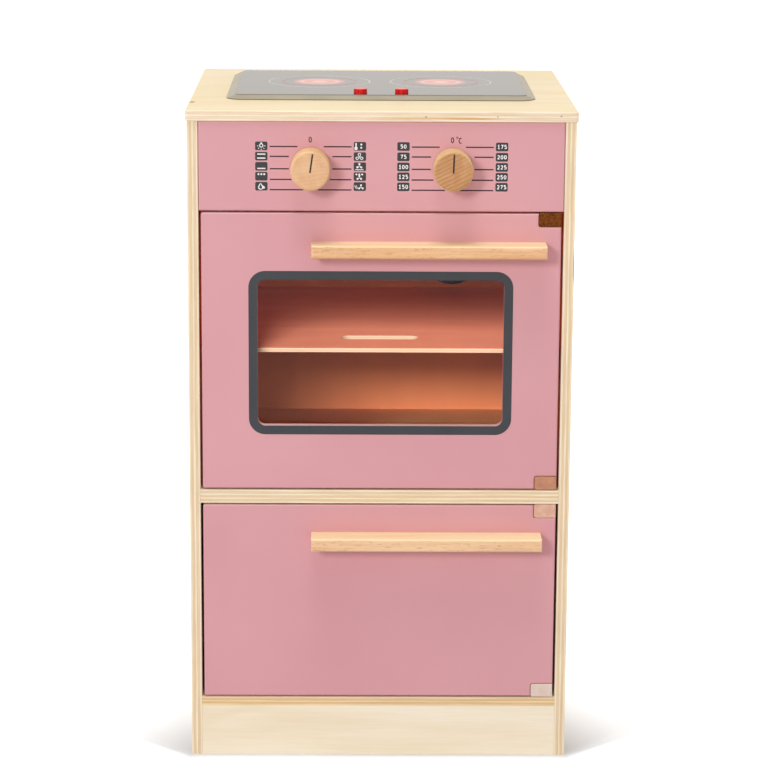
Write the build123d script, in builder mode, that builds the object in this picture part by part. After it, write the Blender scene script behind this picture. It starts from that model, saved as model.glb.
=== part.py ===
from build123d import *
import os

# A toy oven: a plywood cabinet with a hob on top, a dial panel, an oven door with a window and a
# cupboard door below. Millimetres, +Z up, the front faces -Y and +X is to the right seen from there.
# The origin is on the floor, under the middle of the overall box.

# ---- Driving dimensions --------------------------------------------------------------------------

# Cabinet
cabinet_width = 297.5
cabinet_depth = 286.0
side_thickness = 8.5
plinth_height = 41.3
plinth_thickness = 9.0
bottom_thickness = 7.1
cupboard_height = 159.7
divider_thickness = 10.7
oven_height = 220.6
panel_height = 69.1
ceiling_thickness = 8.0
back_thickness = 5.0
board_edge_radius = 0.6

# Worktop
worktop_thickness = 8.5
worktop_side_overhang = 1.25
worktop_front_overhang = 1.5
worktop_back_overhang = 1.5
worktop_edge_radius = 1.6
worktop_corner_radius = 3.0

# Control panel and doors, all cut from the same painted board
front_thickness = 9.5
front_edge_radius = 1.2
door_corner_radius = 1.6
panel_side_gap = 0.25
door_side_gap = 1.85
door_top_gap = 1.5
door_bottom_gap = 1.2

# Hinge blocks, in notches at the right corners of both doors
notch_width = 17.5
notch_height = 10.3
notch_radius = 1.8
block_clearance = 0.2
block_running_gap = 0.4
block_edge_radius = 0.8
block_flange_thickness = 1.6
block_flange_side = 12.0
block_flange_drop = 9.0
pivot_inset = 6.5
pivot_radius = 2.0
pivot_length = 4.0
pivot_clearance = 0.06
pivot_end_gap = 0.5

# Handles
handle_length = 180.0
handle_depth = 22.0
handle_height = 10.0
handle_edge_radius = 1.6
handle_center_x = 36.5
handle_drop = 22.0
handle_screw_spacing = 128.0

# Oven window
window_width = 190.5
window_height = 115.5
window_radius = 6.0
window_rise = 108.1
border_width = 6.9
border_thickness = 0.5
border_recess = 0.4
pane_thickness = 2.0
pane_margin = 7.6
pane_clearance = 0.25

# Shelf
shelf_thickness = 3.5
shelf_top_rise = 109.3
shelf_setback = 20.0
shelf_side_clearance = 0.5
shelf_back_clearance = 0.4
shelf_slot_width = 62.0
shelf_slot_depth = 14.0
shelf_slot_setback = 42.0
peg_radius = 2.5
peg_reach = 9.0
peg_embed = 5.0
peg_setback = 45.0

# Knobs
knob_spacing = 108.4
knob_rise = 34.1
knob_diameter = 30.0
knob_length = 24.0
knob_gap = 0.8
knob_edge_radius = 1.8
pointer_width = 1.3
pointer_depth = 0.9
pointer_length = 14.4
pointer_inset = 1.8
left_pointer_angle = 82.0
right_pointer_angle = 88.0
shaft_radius = 4.0
shaft_clearance = 0.06
shaft_embed = 15.0
shaft_tail = 6.0
shaft_chamfer = 0.5
knob_washer_radius = 10.0
knob_washer_thickness = 0.5
clip_radius = 8.0
clip_thickness = 1.5
clip_gap = 0.3

# Hob module, let into the worktop
hob_width = 243.0
hob_depth = 186.2
hob_setback = 62.4
hob_lip = 0.5
hob_slope_width = 6.2
hob_rise = 3.2
hob_radius = 15.0
hob_shell = 2.0
plate_inset = 0.9
plate_thickness = 0.6
plate_radius = 5.0
skirt_inset = 5.6
skirt_wall = 2.0
skirt_depth = 7.6
hob_cutout_clearance = 0.5
tray_flange = 9.0
tray_flange_thickness = 2.0
tray_depth = 28.0
tray_wall = 2.0
board_drop = 9.0
board_thickness = 1.6
board_margin = 6.0
post_radius = 3.5
ring_spacing = 98.6
ring_setback = 159.5
cup_radius = 30.0
cup_wall = 1.5
diffuser_thickness = 1.2
cup_lens_gap = 0.3
led_radius = 2.5
led_height = 4.5
led_dome_radius = 2.0
led_circle_radius = 15.0
led_count = 6

# Push buttons
button_spacing = 32.4
button_setback = 77.5
button_radius = 5.3
button_height = 4.0
button_clearance = 0.3
button_edge_radius = 0.7
button_flange_radius = 6.6
button_flange_thickness = 1.4
button_play = 0.3
button_travel = 1.2
stem_radius = 1.6
stem_engagement = 2.0
switch_side = 7.0
switch_height = 4.0
switch_bore_clearance = 0.2
switch_bore_margin = 0.4

# Speaker, under the circuit board
speaker_radius = 22.0
speaker_rim_height = 4.0
speaker_magnet_radius = 12.0
speaker_magnet_height = 8.0
grille_hole_radius = 1.25
grille_ring_pitch = 5.0
grille_ring_count = 3
grille_ring_step = 6

# Battery box, on the ceiling board behind the back panel's cover
battery_count = 3
battery_radius = 7.1
battery_length = 50.0
battery_tip_radius = 2.4
battery_tip_length = 1.0
battery_clearance = 0.35
battery_wall = 1.6
cover_overlap = 6.0
cover_thickness = 2.0
cover_radius = 3.0
cover_clearance = 0.3
cover_screw_inset = 3.0

# Catches
catch_width = 20.0
catch_depth = 18.0
catch_height = 12.0
catch_inset = 14.0
catch_gap = 0.4
magnet_radius = 4.0
magnet_thickness = 3.0
strike_radius = 5.0
strike_thickness = 1.2
pocket_clearance = 0.08

# Vent in the oven's back wall
vent_radius = 24.5
vent_x = 65.0
vent_rise = 139.0
vent_flange = 2.5
vent_flange_thickness = 1.2
vent_collar_wall = 1.6
vent_slot_length = 29.4
vent_slot_width = 3.0
vent_slot_pitch = 7.0
vent_slots = 5

# Fasteners
screw_clearance = 0.06
carcass_screw = {"head": 3.6, "shank": 1.75, "length": 32.0}
carcass_screw_setbacks = (40.0, 240.0)
small_screw = {"head": 2.6, "shank": 1.1, "length": 7.0}
handle_screw = {"head": 3.6, "shank": 1.75, "length": 24.0}
back_screw = {"head": 2.8, "shank": 1.4, "length": 16.0}
pan_head_height = 1.2
recess_width = 0.7
recess_depth = 0.9
dowel_radius = 2.5
dowel_length = 16.0
dowel_rise = 5.0
dowel_clearance = 0.05
dowel_chamfer = 0.4
dowel_setbacks = (30.0, 143.0, 256.0)

# ---- Sizes and places worked out from them -------------------------------------------------------

front_reach = max(knob_length, handle_depth)
overall_depth = front_reach + cabinet_depth + worktop_back_overhang
front_y = front_reach - overall_depth / 2
back_y = front_y + cabinet_depth
back_face_y = back_y - back_thickness
inner_width = cabinet_width - 2 * side_thickness
side_x = (cabinet_width - side_thickness) / 2

bottom_top = plinth_height + bottom_thickness
divider_bottom = bottom_top + cupboard_height
divider_top = divider_bottom + divider_thickness
panel_bottom = divider_top + oven_height
ceiling_top = panel_bottom + ceiling_thickness
side_height = panel_bottom + panel_height
worktop_top = side_height + worktop_thickness
worktop_width = cabinet_width + 2 * worktop_side_overhang
worktop_depth = worktop_front_overhang + cabinet_depth + worktop_back_overhang
worktop_center_y = front_y - worktop_front_overhang + worktop_depth / 2

door_width = inner_width - 2 * door_side_gap
oven_door_bottom = divider_top + door_bottom_gap
oven_door_top = panel_bottom - door_top_gap
lower_door_bottom = bottom_top + door_bottom_gap
lower_door_top = divider_bottom - door_top_gap
door_edge_x = door_width / 2
door_rear_y = front_y + front_thickness
pivot_x = door_edge_x - pivot_inset
pivot_y = front_y + front_thickness / 2
pivot_hole_depth = pivot_length - block_running_gap + pivot_end_gap
block_middle_x = door_edge_x - notch_width / 2

window_z = oven_door_bottom + window_rise
shelf_top = divider_top + shelf_top_rise
shelf_bottom = shelf_top - shelf_thickness
knob_z = panel_bottom + knob_rise
vent_z = divider_top + vent_rise

hob_y = front_y + hob_setback + hob_depth / 2
hob_top = worktop_top + hob_rise
plateau_width = hob_width - 2 * hob_slope_width
plateau_depth = hob_depth - 2 * hob_slope_width
plate_top = hob_top + plate_thickness
skirt_width = hob_width - 2 * skirt_inset
skirt_depth_y = hob_depth - 2 * skirt_inset
skirt_radius = hob_radius - skirt_inset
cutout_width = skirt_width + 2 * hob_cutout_clearance
cutout_depth = skirt_depth_y + 2 * hob_cutout_clearance
skirt_bottom = worktop_top - skirt_depth
tray_top = side_height
tray_width = cutout_width + 2 * tray_flange
tray_length = cutout_depth + 2 * tray_flange
tray_floor = tray_top - tray_depth
board_top = tray_top - board_drop
board_bottom = board_top - board_thickness
board_width = cutout_width - 2 * (tray_wall + board_margin)
board_length = cutout_depth - 2 * (tray_wall + board_margin)
ring_y = front_y + ring_setback
button_y = front_y + button_setback
button_top = plate_top + button_height
plateau_underside = hob_top - hob_shell
button_flange_top = plateau_underside - button_play
switch_top = board_top + switch_height

# ---- Planes, locations and forms that several pieces share ---------------------------------------


def behind_front(setback):
    """A plane parallel to the front, this far behind it. Its axes are X and Z, its normal is -Y."""
    return Plane.XZ.offset(-(front_y + setback))


def facing(x, y, z, direction):
    """A location whose own +Z points along the direction."""
    return Plane(origin=(x, y, z), z_dir=direction).location


def both_sides(distance):
    """The same distance to the left and to the right."""
    return (-distance, distance)


def countersunk_form(screw, clearance=0.0):
    """A countersunk screw hung from its head's face, or with a clearance the hole that takes it."""
    head = screw["head"] + clearance
    shank = screw["shank"] + clearance
    end = -(screw["length"] + clearance)
    with BuildPart() as form:
        with BuildSketch(Plane.XZ):
            Polygon((0, 0), (head, 0), (shank, shank - head), (shank, end), (0, end), align=None)
        revolve(axis=Axis.Z)
        if not clearance:
            with Locations((0, 0, -recess_depth / 2)):
                Box(head, recess_width, recess_depth, mode=Mode.SUBTRACT)
                Box(recess_width, head, recess_depth, mode=Mode.SUBTRACT)
    return form.part


def pan_head_form(screw):
    """A pan-head screw: its head stands on the origin's plane and its shank hangs below it."""
    with BuildPart() as form:
        Cylinder(screw["head"], pan_head_height, align=(Align.CENTER, Align.CENTER, Align.MIN))
        fillet(form.edges().group_by(Axis.Z)[-1], pan_head_height / 2)
        Cylinder(screw["shank"], screw["length"], align=(Align.CENTER, Align.CENTER, Align.MAX))
        with Locations((0, 0, pan_head_height)):
            Box(screw["head"], recess_width, recess_depth, mode=Mode.SUBTRACT)
            Box(recess_width, screw["head"], recess_depth, mode=Mode.SUBTRACT)
    return form.part


def carcass_screw_places(side):
    """Screw heads on the outside of one side panel: two into each of the three fixed boards."""
    return [
        facing(side * cabinet_width / 2, front_y + setback, height, (side, 0, 0))
        for height in board_middles
        for setback in carcass_screw_setbacks
    ]


def make_fixed_board(bottom, thickness, setback):
    """A board between the side panels, screwed to them and to the back panel."""
    with BuildPart() as fixed_board:
        with Locations((0, front_y + setback, bottom)):
            Box(
                inner_width,
                cabinet_depth - back_thickness - setback,
                thickness,
                align=(Align.CENTER, Align.MIN, Align.MIN),
            )
        for side in (-1, 1):
            with Locations(*carcass_screw_places(side)):
                add(carcass_hole, mode=Mode.SUBTRACT)
        with Locations(*back_screw_places):
            add(back_hole, mode=Mode.SUBTRACT)
        for pivot_z, outward in pivot_bores:
            with Locations(facing(pivot_x, pivot_y, pivot_z, (0, 0, outward))):
                Cylinder(
                    pivot_radius + pivot_clearance,
                    pivot_hole_depth,
                    align=(Align.CENTER, Align.CENTER, Align.MAX),
                    mode=Mode.SUBTRACT,
                )
    return fixed_board


carcass_screw_form = countersunk_form(carcass_screw)
carcass_hole = countersunk_form(carcass_screw, screw_clearance)
handle_screw_form = countersunk_form(handle_screw)
handle_hole = countersunk_form(handle_screw, screw_clearance)
back_screw_form = countersunk_form(back_screw)
back_hole = countersunk_form(back_screw, screw_clearance)
small_screw_form = pan_head_form(small_screw)
small_screw_hole = small_screw["length"] + screw_clearance

board_middles = (
    plinth_height + bottom_thickness / 2,
    divider_bottom + divider_thickness / 2,
    panel_bottom + ceiling_thickness / 2,
)
pivot_bores = ((bottom_top, 1), (divider_bottom, -1), (divider_top, 1), (panel_bottom, -1))
back_screw_places = [
    facing(x, back_y, z, (0, 1, 0)) for x in both_sides(inner_width / 3) for z in board_middles
]

pieces = {}

# ---- Cabinet -------------------------------------------------------------------------------------

dowel_places = [
    (side_distance, front_y + setback, worktop_top - worktop_thickness + dowel_rise)
    for side_distance in both_sides(side_x)
    for setback in dowel_setbacks
]
tray_screw_places = [
    facing(x, hob_y + y, tray_top - tray_flange_thickness, (0, 0, -1))
    for x in both_sides((tray_width - tray_flange) / 2)
    for y in both_sides(tray_length / 3)
]
peg_places = [
    (side, front_y + setback, shelf_bottom - peg_radius)
    for side in (-1, 1)
    for setback in (shelf_setback + peg_setback, cabinet_depth - back_thickness - peg_setback)
]


def make_side_panel(side):
    """One plywood side, with holes for its screws, dowels and shelf pegs."""
    with BuildPart() as side_panel:
        with Locations((side * side_x, front_y + cabinet_depth / 2, 0)):
            Box(
                side_thickness,
                cabinet_depth,
                side_height,
                align=(Align.CENTER, Align.CENTER, Align.MIN),
            )
        fillet(side_panel.edges().filter_by(Axis.Z), board_edge_radius)
        with Locations(*carcass_screw_places(side)):
            add(carcass_hole, mode=Mode.SUBTRACT)
        with Locations(*[(x, y, z) for x, y, z in dowel_places if x * side > 0]):
            Cylinder(
                dowel_radius + dowel_clearance,
                dowel_length + dowel_clearance,
                align=(Align.CENTER, Align.CENTER, Align.MAX),
                mode=Mode.SUBTRACT,
            )
        with Locations(
            *[
                facing(s * inner_width / 2, y, z, (-s, 0, 0))
                for s, y, z in peg_places
                if s == side
            ]
        ):
            Hole(peg_radius + dowel_clearance, peg_embed)
    return side_panel


pieces["side_panel_left"] = make_side_panel(-1)
pieces["side_panel_right"] = make_side_panel(1)

with BuildPart() as worktop:
    with Locations((0, worktop_center_y, side_height)):
        Box(
            worktop_width,
            worktop_depth,
            worktop_thickness,
            align=(Align.CENTER, Align.CENTER, Align.MIN),
        )
    fillet(worktop.edges().filter_by(Axis.Z), worktop_corner_radius)
    fillet(worktop.edges().group_by(Axis.Z)[-1], worktop_edge_radius)
    fillet(worktop.edges().group_by(Axis.Z)[0], board_edge_radius)
    with BuildSketch(Plane.XY.offset(side_height)):
        with Locations((0, hob_y)):
            RectangleRounded(cutout_width, cutout_depth, skirt_radius)
    extrude(amount=worktop_thickness, mode=Mode.SUBTRACT)
    with Locations(*dowel_places):
        Cylinder(
            dowel_radius + dowel_clearance,
            dowel_length + dowel_clearance,
            align=(Align.CENTER, Align.CENTER, Align.MAX),
            mode=Mode.SUBTRACT,
        )
    with Locations(*tray_screw_places):
        Hole(small_screw["shank"] + screw_clearance, small_screw_hole)
pieces["worktop"] = worktop

with BuildPart() as worktop_dowels:
    with Locations(*dowel_places):
        Cylinder(dowel_radius, dowel_length, align=(Align.CENTER, Align.CENTER, Align.MAX))
    chamfer(worktop_dowels.edges().filter_by(GeomType.CIRCLE), dowel_chamfer)
pieces["worktop_dowels"] = worktop_dowels

pieces["bottom_board"] = make_fixed_board(plinth_height, bottom_thickness, 0)
pieces["divider_board"] = make_fixed_board(divider_bottom, divider_thickness, 0)
pieces["ceiling_board"] = make_fixed_board(panel_bottom, ceiling_thickness, front_thickness)

with BuildPart() as plinth_board:
    with Locations((0, front_y, 0)):
        Box(
            inner_width,
            plinth_thickness,
            plinth_height,
            align=(Align.CENTER, Align.MIN, Align.MIN),
        )
    fillet(plinth_board.edges().filter_by(Axis.X).group_by(Axis.Y)[0], board_edge_radius / 2)
pieces["plinth_board"] = plinth_board

with BuildPart() as carcass_screws:
    for screw_side in (-1, 1):
        with Locations(*carcass_screw_places(screw_side)):
            add(carcass_screw_form)
pieces["carcass_screws"] = carcass_screws

# ---- Back panel, vent and battery box ------------------------------------------------------------

battery_pitch = 2 * (battery_radius + battery_clearance)
box_width = battery_count * battery_pitch + 2 * battery_wall
box_length = battery_length + battery_clearance + battery_wall
box_height = battery_pitch + 2 * battery_wall
box_middle_z = ceiling_top + box_height / 2
box_end_y = back_y - cover_thickness
cover_height = box_height + 2 * cover_overlap
back_middle_z = (plinth_height + side_height) / 2
cover_screw_places = [
    facing(x, back_y, box_middle_z, (0, 1, 0))
    for x in both_sides((box_width + 2 * cover_overlap) / 2 - cover_screw_inset)
]

with BuildPart() as back_panel:
    with BuildSketch(Plane.XZ.offset(-back_face_y)):
        with Locations((0, back_middle_z)):
            Rectangle(inner_width, side_height - plinth_height)
        with Locations((vent_x, vent_z)):
            Circle(vent_radius, mode=Mode.SUBTRACT)
        with Locations((0, box_middle_z)):
            Rectangle(box_width, box_height, mode=Mode.SUBTRACT)
    extrude(amount=-back_thickness)
    with BuildSketch(Plane.XZ.offset(-back_y)):
        with Locations((0, box_middle_z)):
            RectangleRounded(
                box_width + 2 * (cover_overlap + cover_clearance),
                cover_height + 2 * cover_clearance,
                cover_radius + cover_clearance,
            )
    extrude(amount=cover_thickness, mode=Mode.SUBTRACT)
    with Locations(*back_screw_places):
        add(back_hole, mode=Mode.SUBTRACT)
    with Locations(*cover_screw_places):
        Hole(small_screw["shank"] + screw_clearance, small_screw_hole)
pieces["back_panel"] = back_panel
with BuildPart() as back_screws:
    with Locations(*back_screw_places):
        add(back_screw_form)
pieces["back_screws"] = back_screws

with BuildPart() as vent_cap:
    with BuildSketch(Plane.XZ.offset(-back_face_y)):
        with Locations((vent_x, vent_z)):
            Circle(vent_radius + vent_flange)
    extrude(amount=vent_flange_thickness)
    fillet(vent_cap.edges().group_by(Axis.Y)[0], vent_flange_thickness / 2)
    with BuildSketch(Plane.XZ.offset(-back_face_y)):
        with Locations((vent_x, vent_z)):
            Circle(vent_radius - dowel_clearance)
            Circle(vent_radius - vent_collar_wall, mode=Mode.SUBTRACT)
    extrude(amount=-back_thickness)
    with BuildSketch(Plane.XZ.offset(-back_face_y)):
        with Locations((vent_x, vent_z)):
            with GridLocations(0, vent_slot_pitch, 1, vent_slots):
                SlotOverall(vent_slot_length, vent_slot_width)
    extrude(amount=vent_flange_thickness, mode=Mode.SUBTRACT)
pieces["vent_cap"] = vent_cap

with BuildPart() as battery_box:
    with Locations((0, box_end_y, ceiling_top)):
        Box(
            box_width,
            box_length,
            box_height,
            align=(Align.CENTER, Align.MAX, Align.MIN),
        )
    with Locations((0, box_end_y, ceiling_top + battery_wall)):
        Box(
            box_width - 2 * battery_wall,
            box_length - battery_wall,
            battery_pitch,
            align=(Align.CENTER, Align.MAX, Align.MIN),
            mode=Mode.SUBTRACT,
        )
pieces["battery_box"] = battery_box

with BuildPart() as batteries:
    with Locations((0, box_end_y - box_length + battery_wall, box_middle_z - battery_clearance)):
        with GridLocations(battery_pitch, 0, battery_count, 1):
            Cylinder(
                battery_radius,
                battery_length - battery_tip_length,
                rotation=(-90, 0, 0),
                align=(Align.CENTER, Align.CENTER, Align.MIN),
            )
            Cylinder(
                battery_tip_radius,
                battery_length,
                rotation=(-90, 0, 0),
                align=(Align.CENTER, Align.CENTER, Align.MIN),
            )
pieces["batteries"] = batteries

with BuildPart() as battery_cover:
    with BuildSketch(Plane.XZ.offset(-back_y)):
        with Locations((0, box_middle_z)):
            RectangleRounded(box_width + 2 * cover_overlap, cover_height, cover_radius)
    extrude(amount=cover_thickness)
    fillet(battery_cover.edges().group_by(Axis.Y)[-1], cover_thickness / 4)
    with Locations(*cover_screw_places):
        Hole(small_screw["shank"] + screw_clearance)
pieces["battery_cover"] = battery_cover

with BuildPart() as battery_cover_screws:
    with Locations(*cover_screw_places):
        add(small_screw_form)
pieces["battery_cover_screws"] = battery_cover_screws

# ---- Control panel and knobs ---------------------------------------------------------------------

with BuildPart() as control_panel:
    with BuildSketch(behind_front(0)):
        with Locations((0, (panel_bottom + side_height) / 2)):
            Rectangle(inner_width - 2 * panel_side_gap, panel_height)
    extrude(amount=-front_thickness)
    fillet(control_panel.faces().sort_by(Axis.Y)[0].edges(), front_edge_radius)
    with Locations(*[facing(x, front_y, knob_z, (0, -1, 0)) for x in both_sides(knob_spacing / 2)]):
        Hole(shaft_radius + shaft_clearance)
    with Locations(facing(pivot_x, pivot_y, panel_bottom, (0, 0, -1))):
        Hole(pivot_radius + pivot_clearance, pivot_hole_depth)
pieces["control_panel"] = control_panel

shaft_front_y = front_y - knob_gap - shaft_embed
clip_front_y = door_rear_y + clip_gap
shaft_end_y = door_rear_y + shaft_tail
pointer_middle = knob_diameter / 2 - pointer_inset - pointer_length / 2


def make_knob(x, pointer_angle):
    """A turned knob with a pointer groove across its face, from near the rim to the middle."""
    with BuildPart() as knob:
        with BuildSketch(behind_front(-knob_gap)):
            with Locations((x, knob_z)):
                Circle(knob_diameter / 2)
        extrude(amount=knob_length - knob_gap)
        fillet(knob.edges().group_by(Axis.Y)[0], knob_edge_radius)
        fillet(knob.edges().group_by(Axis.Y)[-1], board_edge_radius)
        with BuildSketch(behind_front(-knob_length)):
            with Locations((x, knob_z)):
                with PolarLocations(pointer_middle, 1, start_angle=pointer_angle):
                    Rectangle(pointer_length, pointer_width)
        extrude(amount=-pointer_depth, mode=Mode.SUBTRACT)
        with Locations(facing(x, front_y - knob_gap, knob_z, (0, 1, 0))):
            Hole(shaft_radius + dowel_clearance, shaft_embed + dowel_clearance)
    return knob


def make_knob_shaft(x):
    """The steel shaft, fixed in the knob, that turns in the control panel."""
    with BuildPart() as shaft:
        with Locations(facing(x, shaft_front_y, knob_z, (0, 1, 0))):
            Cylinder(
                shaft_radius,
                shaft_end_y - shaft_front_y,
                align=(Align.CENTER, Align.CENTER, Align.MIN),
            )
        chamfer(shaft.edges().filter_by(GeomType.CIRCLE), shaft_chamfer)
    return shaft


def make_rings(places_x, start_y, radius, thickness, clearance):
    """A flat ring round the shaft of the knob at each of these places."""
    with BuildPart() as ring:
        with Locations(*[facing(x, start_y, knob_z, (0, 1, 0)) for x in places_x]):
            Cylinder(radius, thickness, align=(Align.CENTER, Align.CENTER, Align.MIN))
            Cylinder(
                shaft_radius + clearance,
                thickness,
                align=(Align.CENTER, Align.CENTER, Align.MIN),
                mode=Mode.SUBTRACT,
            )
    return ring


for hand, side, pointer_angle in (("left", -1, left_pointer_angle), ("right", 1, right_pointer_angle)):
    knob_x = side * knob_spacing / 2
    pieces[hand + "_knob"] = make_knob(knob_x, pointer_angle)
    pieces[hand + "_knob_shaft"] = make_knob_shaft(knob_x)
    pieces[hand + "_knob_clip"] = make_rings(
        [knob_x], clip_front_y, clip_radius, clip_thickness, dowel_clearance
    )
pieces["knob_washers"] = make_rings(
    both_sides(knob_spacing / 2),
    front_y - knob_washer_thickness,
    knob_washer_radius,
    knob_washer_thickness,
    shaft_clearance,
)

# ---- Doors ---------------------------------------------------------------------------------------

border_outer_width = window_width + 2 * border_width
border_outer_height = window_height + 2 * border_width
border_outer_radius = window_radius + border_width
pane_width = window_width + 2 * pane_margin
pane_height = window_height + 2 * pane_margin
pane_recess = pane_thickness + pane_clearance
window_screw_places = [
    facing(x, door_rear_y - pane_clearance, window_z + z, (0, 1, 0))
    for x in both_sides((window_width + pane_margin) / 2)
    for z in (-window_height / 3, 0, window_height / 3)
]


def handle_screw_places(door_top):
    """Screw heads in a door's rear face, behind the two ends of its handle."""
    return [
        facing(
            handle_center_x + x,
            door_rear_y,
            door_top - handle_drop - handle_height / 2,
            (0, 1, 0),
        )
        for x in both_sides(handle_screw_spacing / 2)
    ]


def strike_place(door_top):
    """Where a door's steel strike disc lies, in its rear face near the free corner."""
    return facing(
        -door_edge_x + catch_inset,
        door_rear_y,
        door_top + door_top_gap - catch_height / 2,
        (0, 1, 0),
    )


def make_door(bottom, top, has_window):
    """A painted board with a notch at each right corner, rounded all round its front."""
    with BuildPart() as door:
        with BuildSketch(behind_front(0)):
            with Locations((0, (bottom + top) / 2)):
                Rectangle(door_width, top - bottom)
        extrude(amount=-front_thickness)
        with BuildSketch(behind_front(0)):
            with Locations((door_edge_x, bottom), (door_edge_x, top)):
                RectangleRounded(2 * notch_width, 2 * notch_height, notch_radius)
        extrude(amount=-front_thickness, mode=Mode.SUBTRACT)
        fillet(door.edges().filter_by(Axis.Y).group_by(Axis.X)[0], door_corner_radius)
        fillet(door.faces().sort_by(Axis.Y)[0].edges(), front_edge_radius)
        if has_window:
            with BuildSketch(behind_front(0)):
                with Locations((0, window_z)):
                    RectangleRounded(window_width, window_height, window_radius)
            extrude(amount=-front_thickness, mode=Mode.SUBTRACT)
            with BuildSketch(behind_front(0)):
                with Locations((0, window_z)):
                    RectangleRounded(border_outer_width, border_outer_height, border_outer_radius)
            extrude(amount=-border_recess, mode=Mode.SUBTRACT)
            with BuildSketch(behind_front(front_thickness)):
                with Locations((0, window_z)):
                    Rectangle(pane_width + 2 * pane_clearance, pane_height + 2 * pane_clearance)
            extrude(amount=pane_recess, mode=Mode.SUBTRACT)
            with Locations(*window_screw_places):
                Hole(small_screw["shank"] + screw_clearance, small_screw_hole)
        with Locations(*handle_screw_places(top)):
            add(handle_hole, mode=Mode.SUBTRACT)
        with Locations(strike_place(top)):
            Hole(strike_radius + pocket_clearance, strike_thickness)
        with Locations(*hinge_screw_places(bottom, 1), *hinge_screw_places(top, -1)):
            Hole(small_screw["shank"] + screw_clearance, small_screw_hole)
    return door


def hinge_screw_places(edge_z, inward):
    """Screw heads on a hinge block's rear flange, beside the notch and beyond it."""
    flange_face_y = door_rear_y + block_flange_thickness
    beside_x = door_edge_x - notch_width - block_flange_side / 2
    beside_z = edge_z + inward * notch_height / 2
    beyond_z = edge_z + inward * (notch_height + block_flange_drop / 2)
    return [
        facing(beside_x, flange_face_y, beside_z, (0, 1, 0)),
        facing(block_middle_x, flange_face_y, beyond_z, (0, 1, 0)),
    ]


def make_hinge_block(edge_z, inward, gap):
    """A moulded block that fills a door's notch, with a pivot stub and a flange behind the door."""
    outer_z = edge_z - inward * (gap - block_running_gap)
    inner_z = edge_z + inward * (notch_height - block_clearance)
    flange_inner_z = edge_z + inward * (notch_height + block_flange_drop)
    block_width = notch_width - block_clearance
    with BuildPart() as block:
        with BuildSketch(behind_front(0)):
            with Locations((door_edge_x - block_width / 2, (outer_z + inner_z) / 2)):
                Rectangle(block_width, abs(outer_z - inner_z))
        extrude(amount=-front_thickness)
        inner_corner = block.edges().filter_by(Axis.Y).group_by(Axis.X)[0]
        fillet(inner_corner, notch_radius)
        fillet(block.faces().sort_by(Axis.Y)[0].edges(), block_edge_radius)
        with BuildSketch(behind_front(front_thickness)):
            with Locations(
                (
                    door_edge_x - (notch_width + block_flange_side) / 2,
                    (edge_z + flange_inner_z) / 2,
                )
            ):
                RectangleRounded(
                    notch_width + block_flange_side, abs(flange_inner_z - edge_z), notch_radius
                )
        extrude(amount=-block_flange_thickness)
        with Locations(facing(pivot_x, pivot_y, outer_z, (0, 0, -inward))):
            Cylinder(
                pivot_radius, pivot_length, align=(Align.CENTER, Align.CENTER, Align.MIN)
            )
        with Locations(*hinge_screw_places(edge_z, inward)):
            Hole(small_screw["shank"] + screw_clearance)
    return block


def make_hinge_screws(bottom, top):
    """The four small screws that hold a door's hinge blocks."""
    with BuildPart() as screws:
        with Locations(*hinge_screw_places(bottom, 1), *hinge_screw_places(top, -1)):
            add(small_screw_form)
    return screws


def make_handle(door_top):
    """A solid hardwood bar with eased edges, screwed on from behind the door."""
    with BuildPart() as handle:
        with BuildSketch(behind_front(0)):
            with Locations((handle_center_x, door_top - handle_drop - handle_height / 2)):
                Rectangle(handle_length, handle_height)
        extrude(amount=handle_depth)
        fillet(handle.faces().sort_by(Axis.Y)[0].edges(), handle_edge_radius)
        with Locations(*handle_screw_places(door_top)):
            add(handle_hole, mode=Mode.SUBTRACT)
    return handle


def make_handle_screws(door_top):
    """The two screws that hold a handle."""
    with BuildPart() as screws:
        with Locations(*handle_screw_places(door_top)):
            add(handle_screw_form)
    return screws


def make_strike(door_top):
    """A steel disc let into the door's rear face."""
    with BuildPart() as strike:
        with Locations(strike_place(door_top)):
            Cylinder(strike_radius, strike_thickness, align=(Align.CENTER, Align.CENTER, Align.MAX))
    return strike


def make_catch(ceiling_z, door_top):
    """A catch block fixed under a board, with a pocket for its magnet towards the door."""
    with BuildPart() as catch:
        with Locations((-door_edge_x + catch_inset, door_rear_y + catch_gap, ceiling_z)):
            Box(
                catch_width,
                catch_depth,
                catch_height,
                align=(Align.CENTER, Align.MIN, Align.MAX),
            )
        fillet(catch.edges().filter_by(Axis.Z), board_edge_radius)
        with Locations(
            facing(
                -door_edge_x + catch_inset,
                door_rear_y + catch_gap,
                door_top + door_top_gap - catch_height / 2,
                (0, -1, 0),
            )
        ):
            Hole(magnet_radius + pocket_clearance, magnet_thickness)
    return catch


def make_magnet(door_top):
    """A round magnet in its catch's pocket."""
    with BuildPart() as magnet:
        with Locations(
            facing(
                -door_edge_x + catch_inset,
                door_rear_y + catch_gap,
                door_top + door_top_gap - catch_height / 2,
                (0, -1, 0),
            )
        ):
            Cylinder(magnet_radius, magnet_thickness, align=(Align.CENTER, Align.CENTER, Align.MAX))
    return magnet


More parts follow.
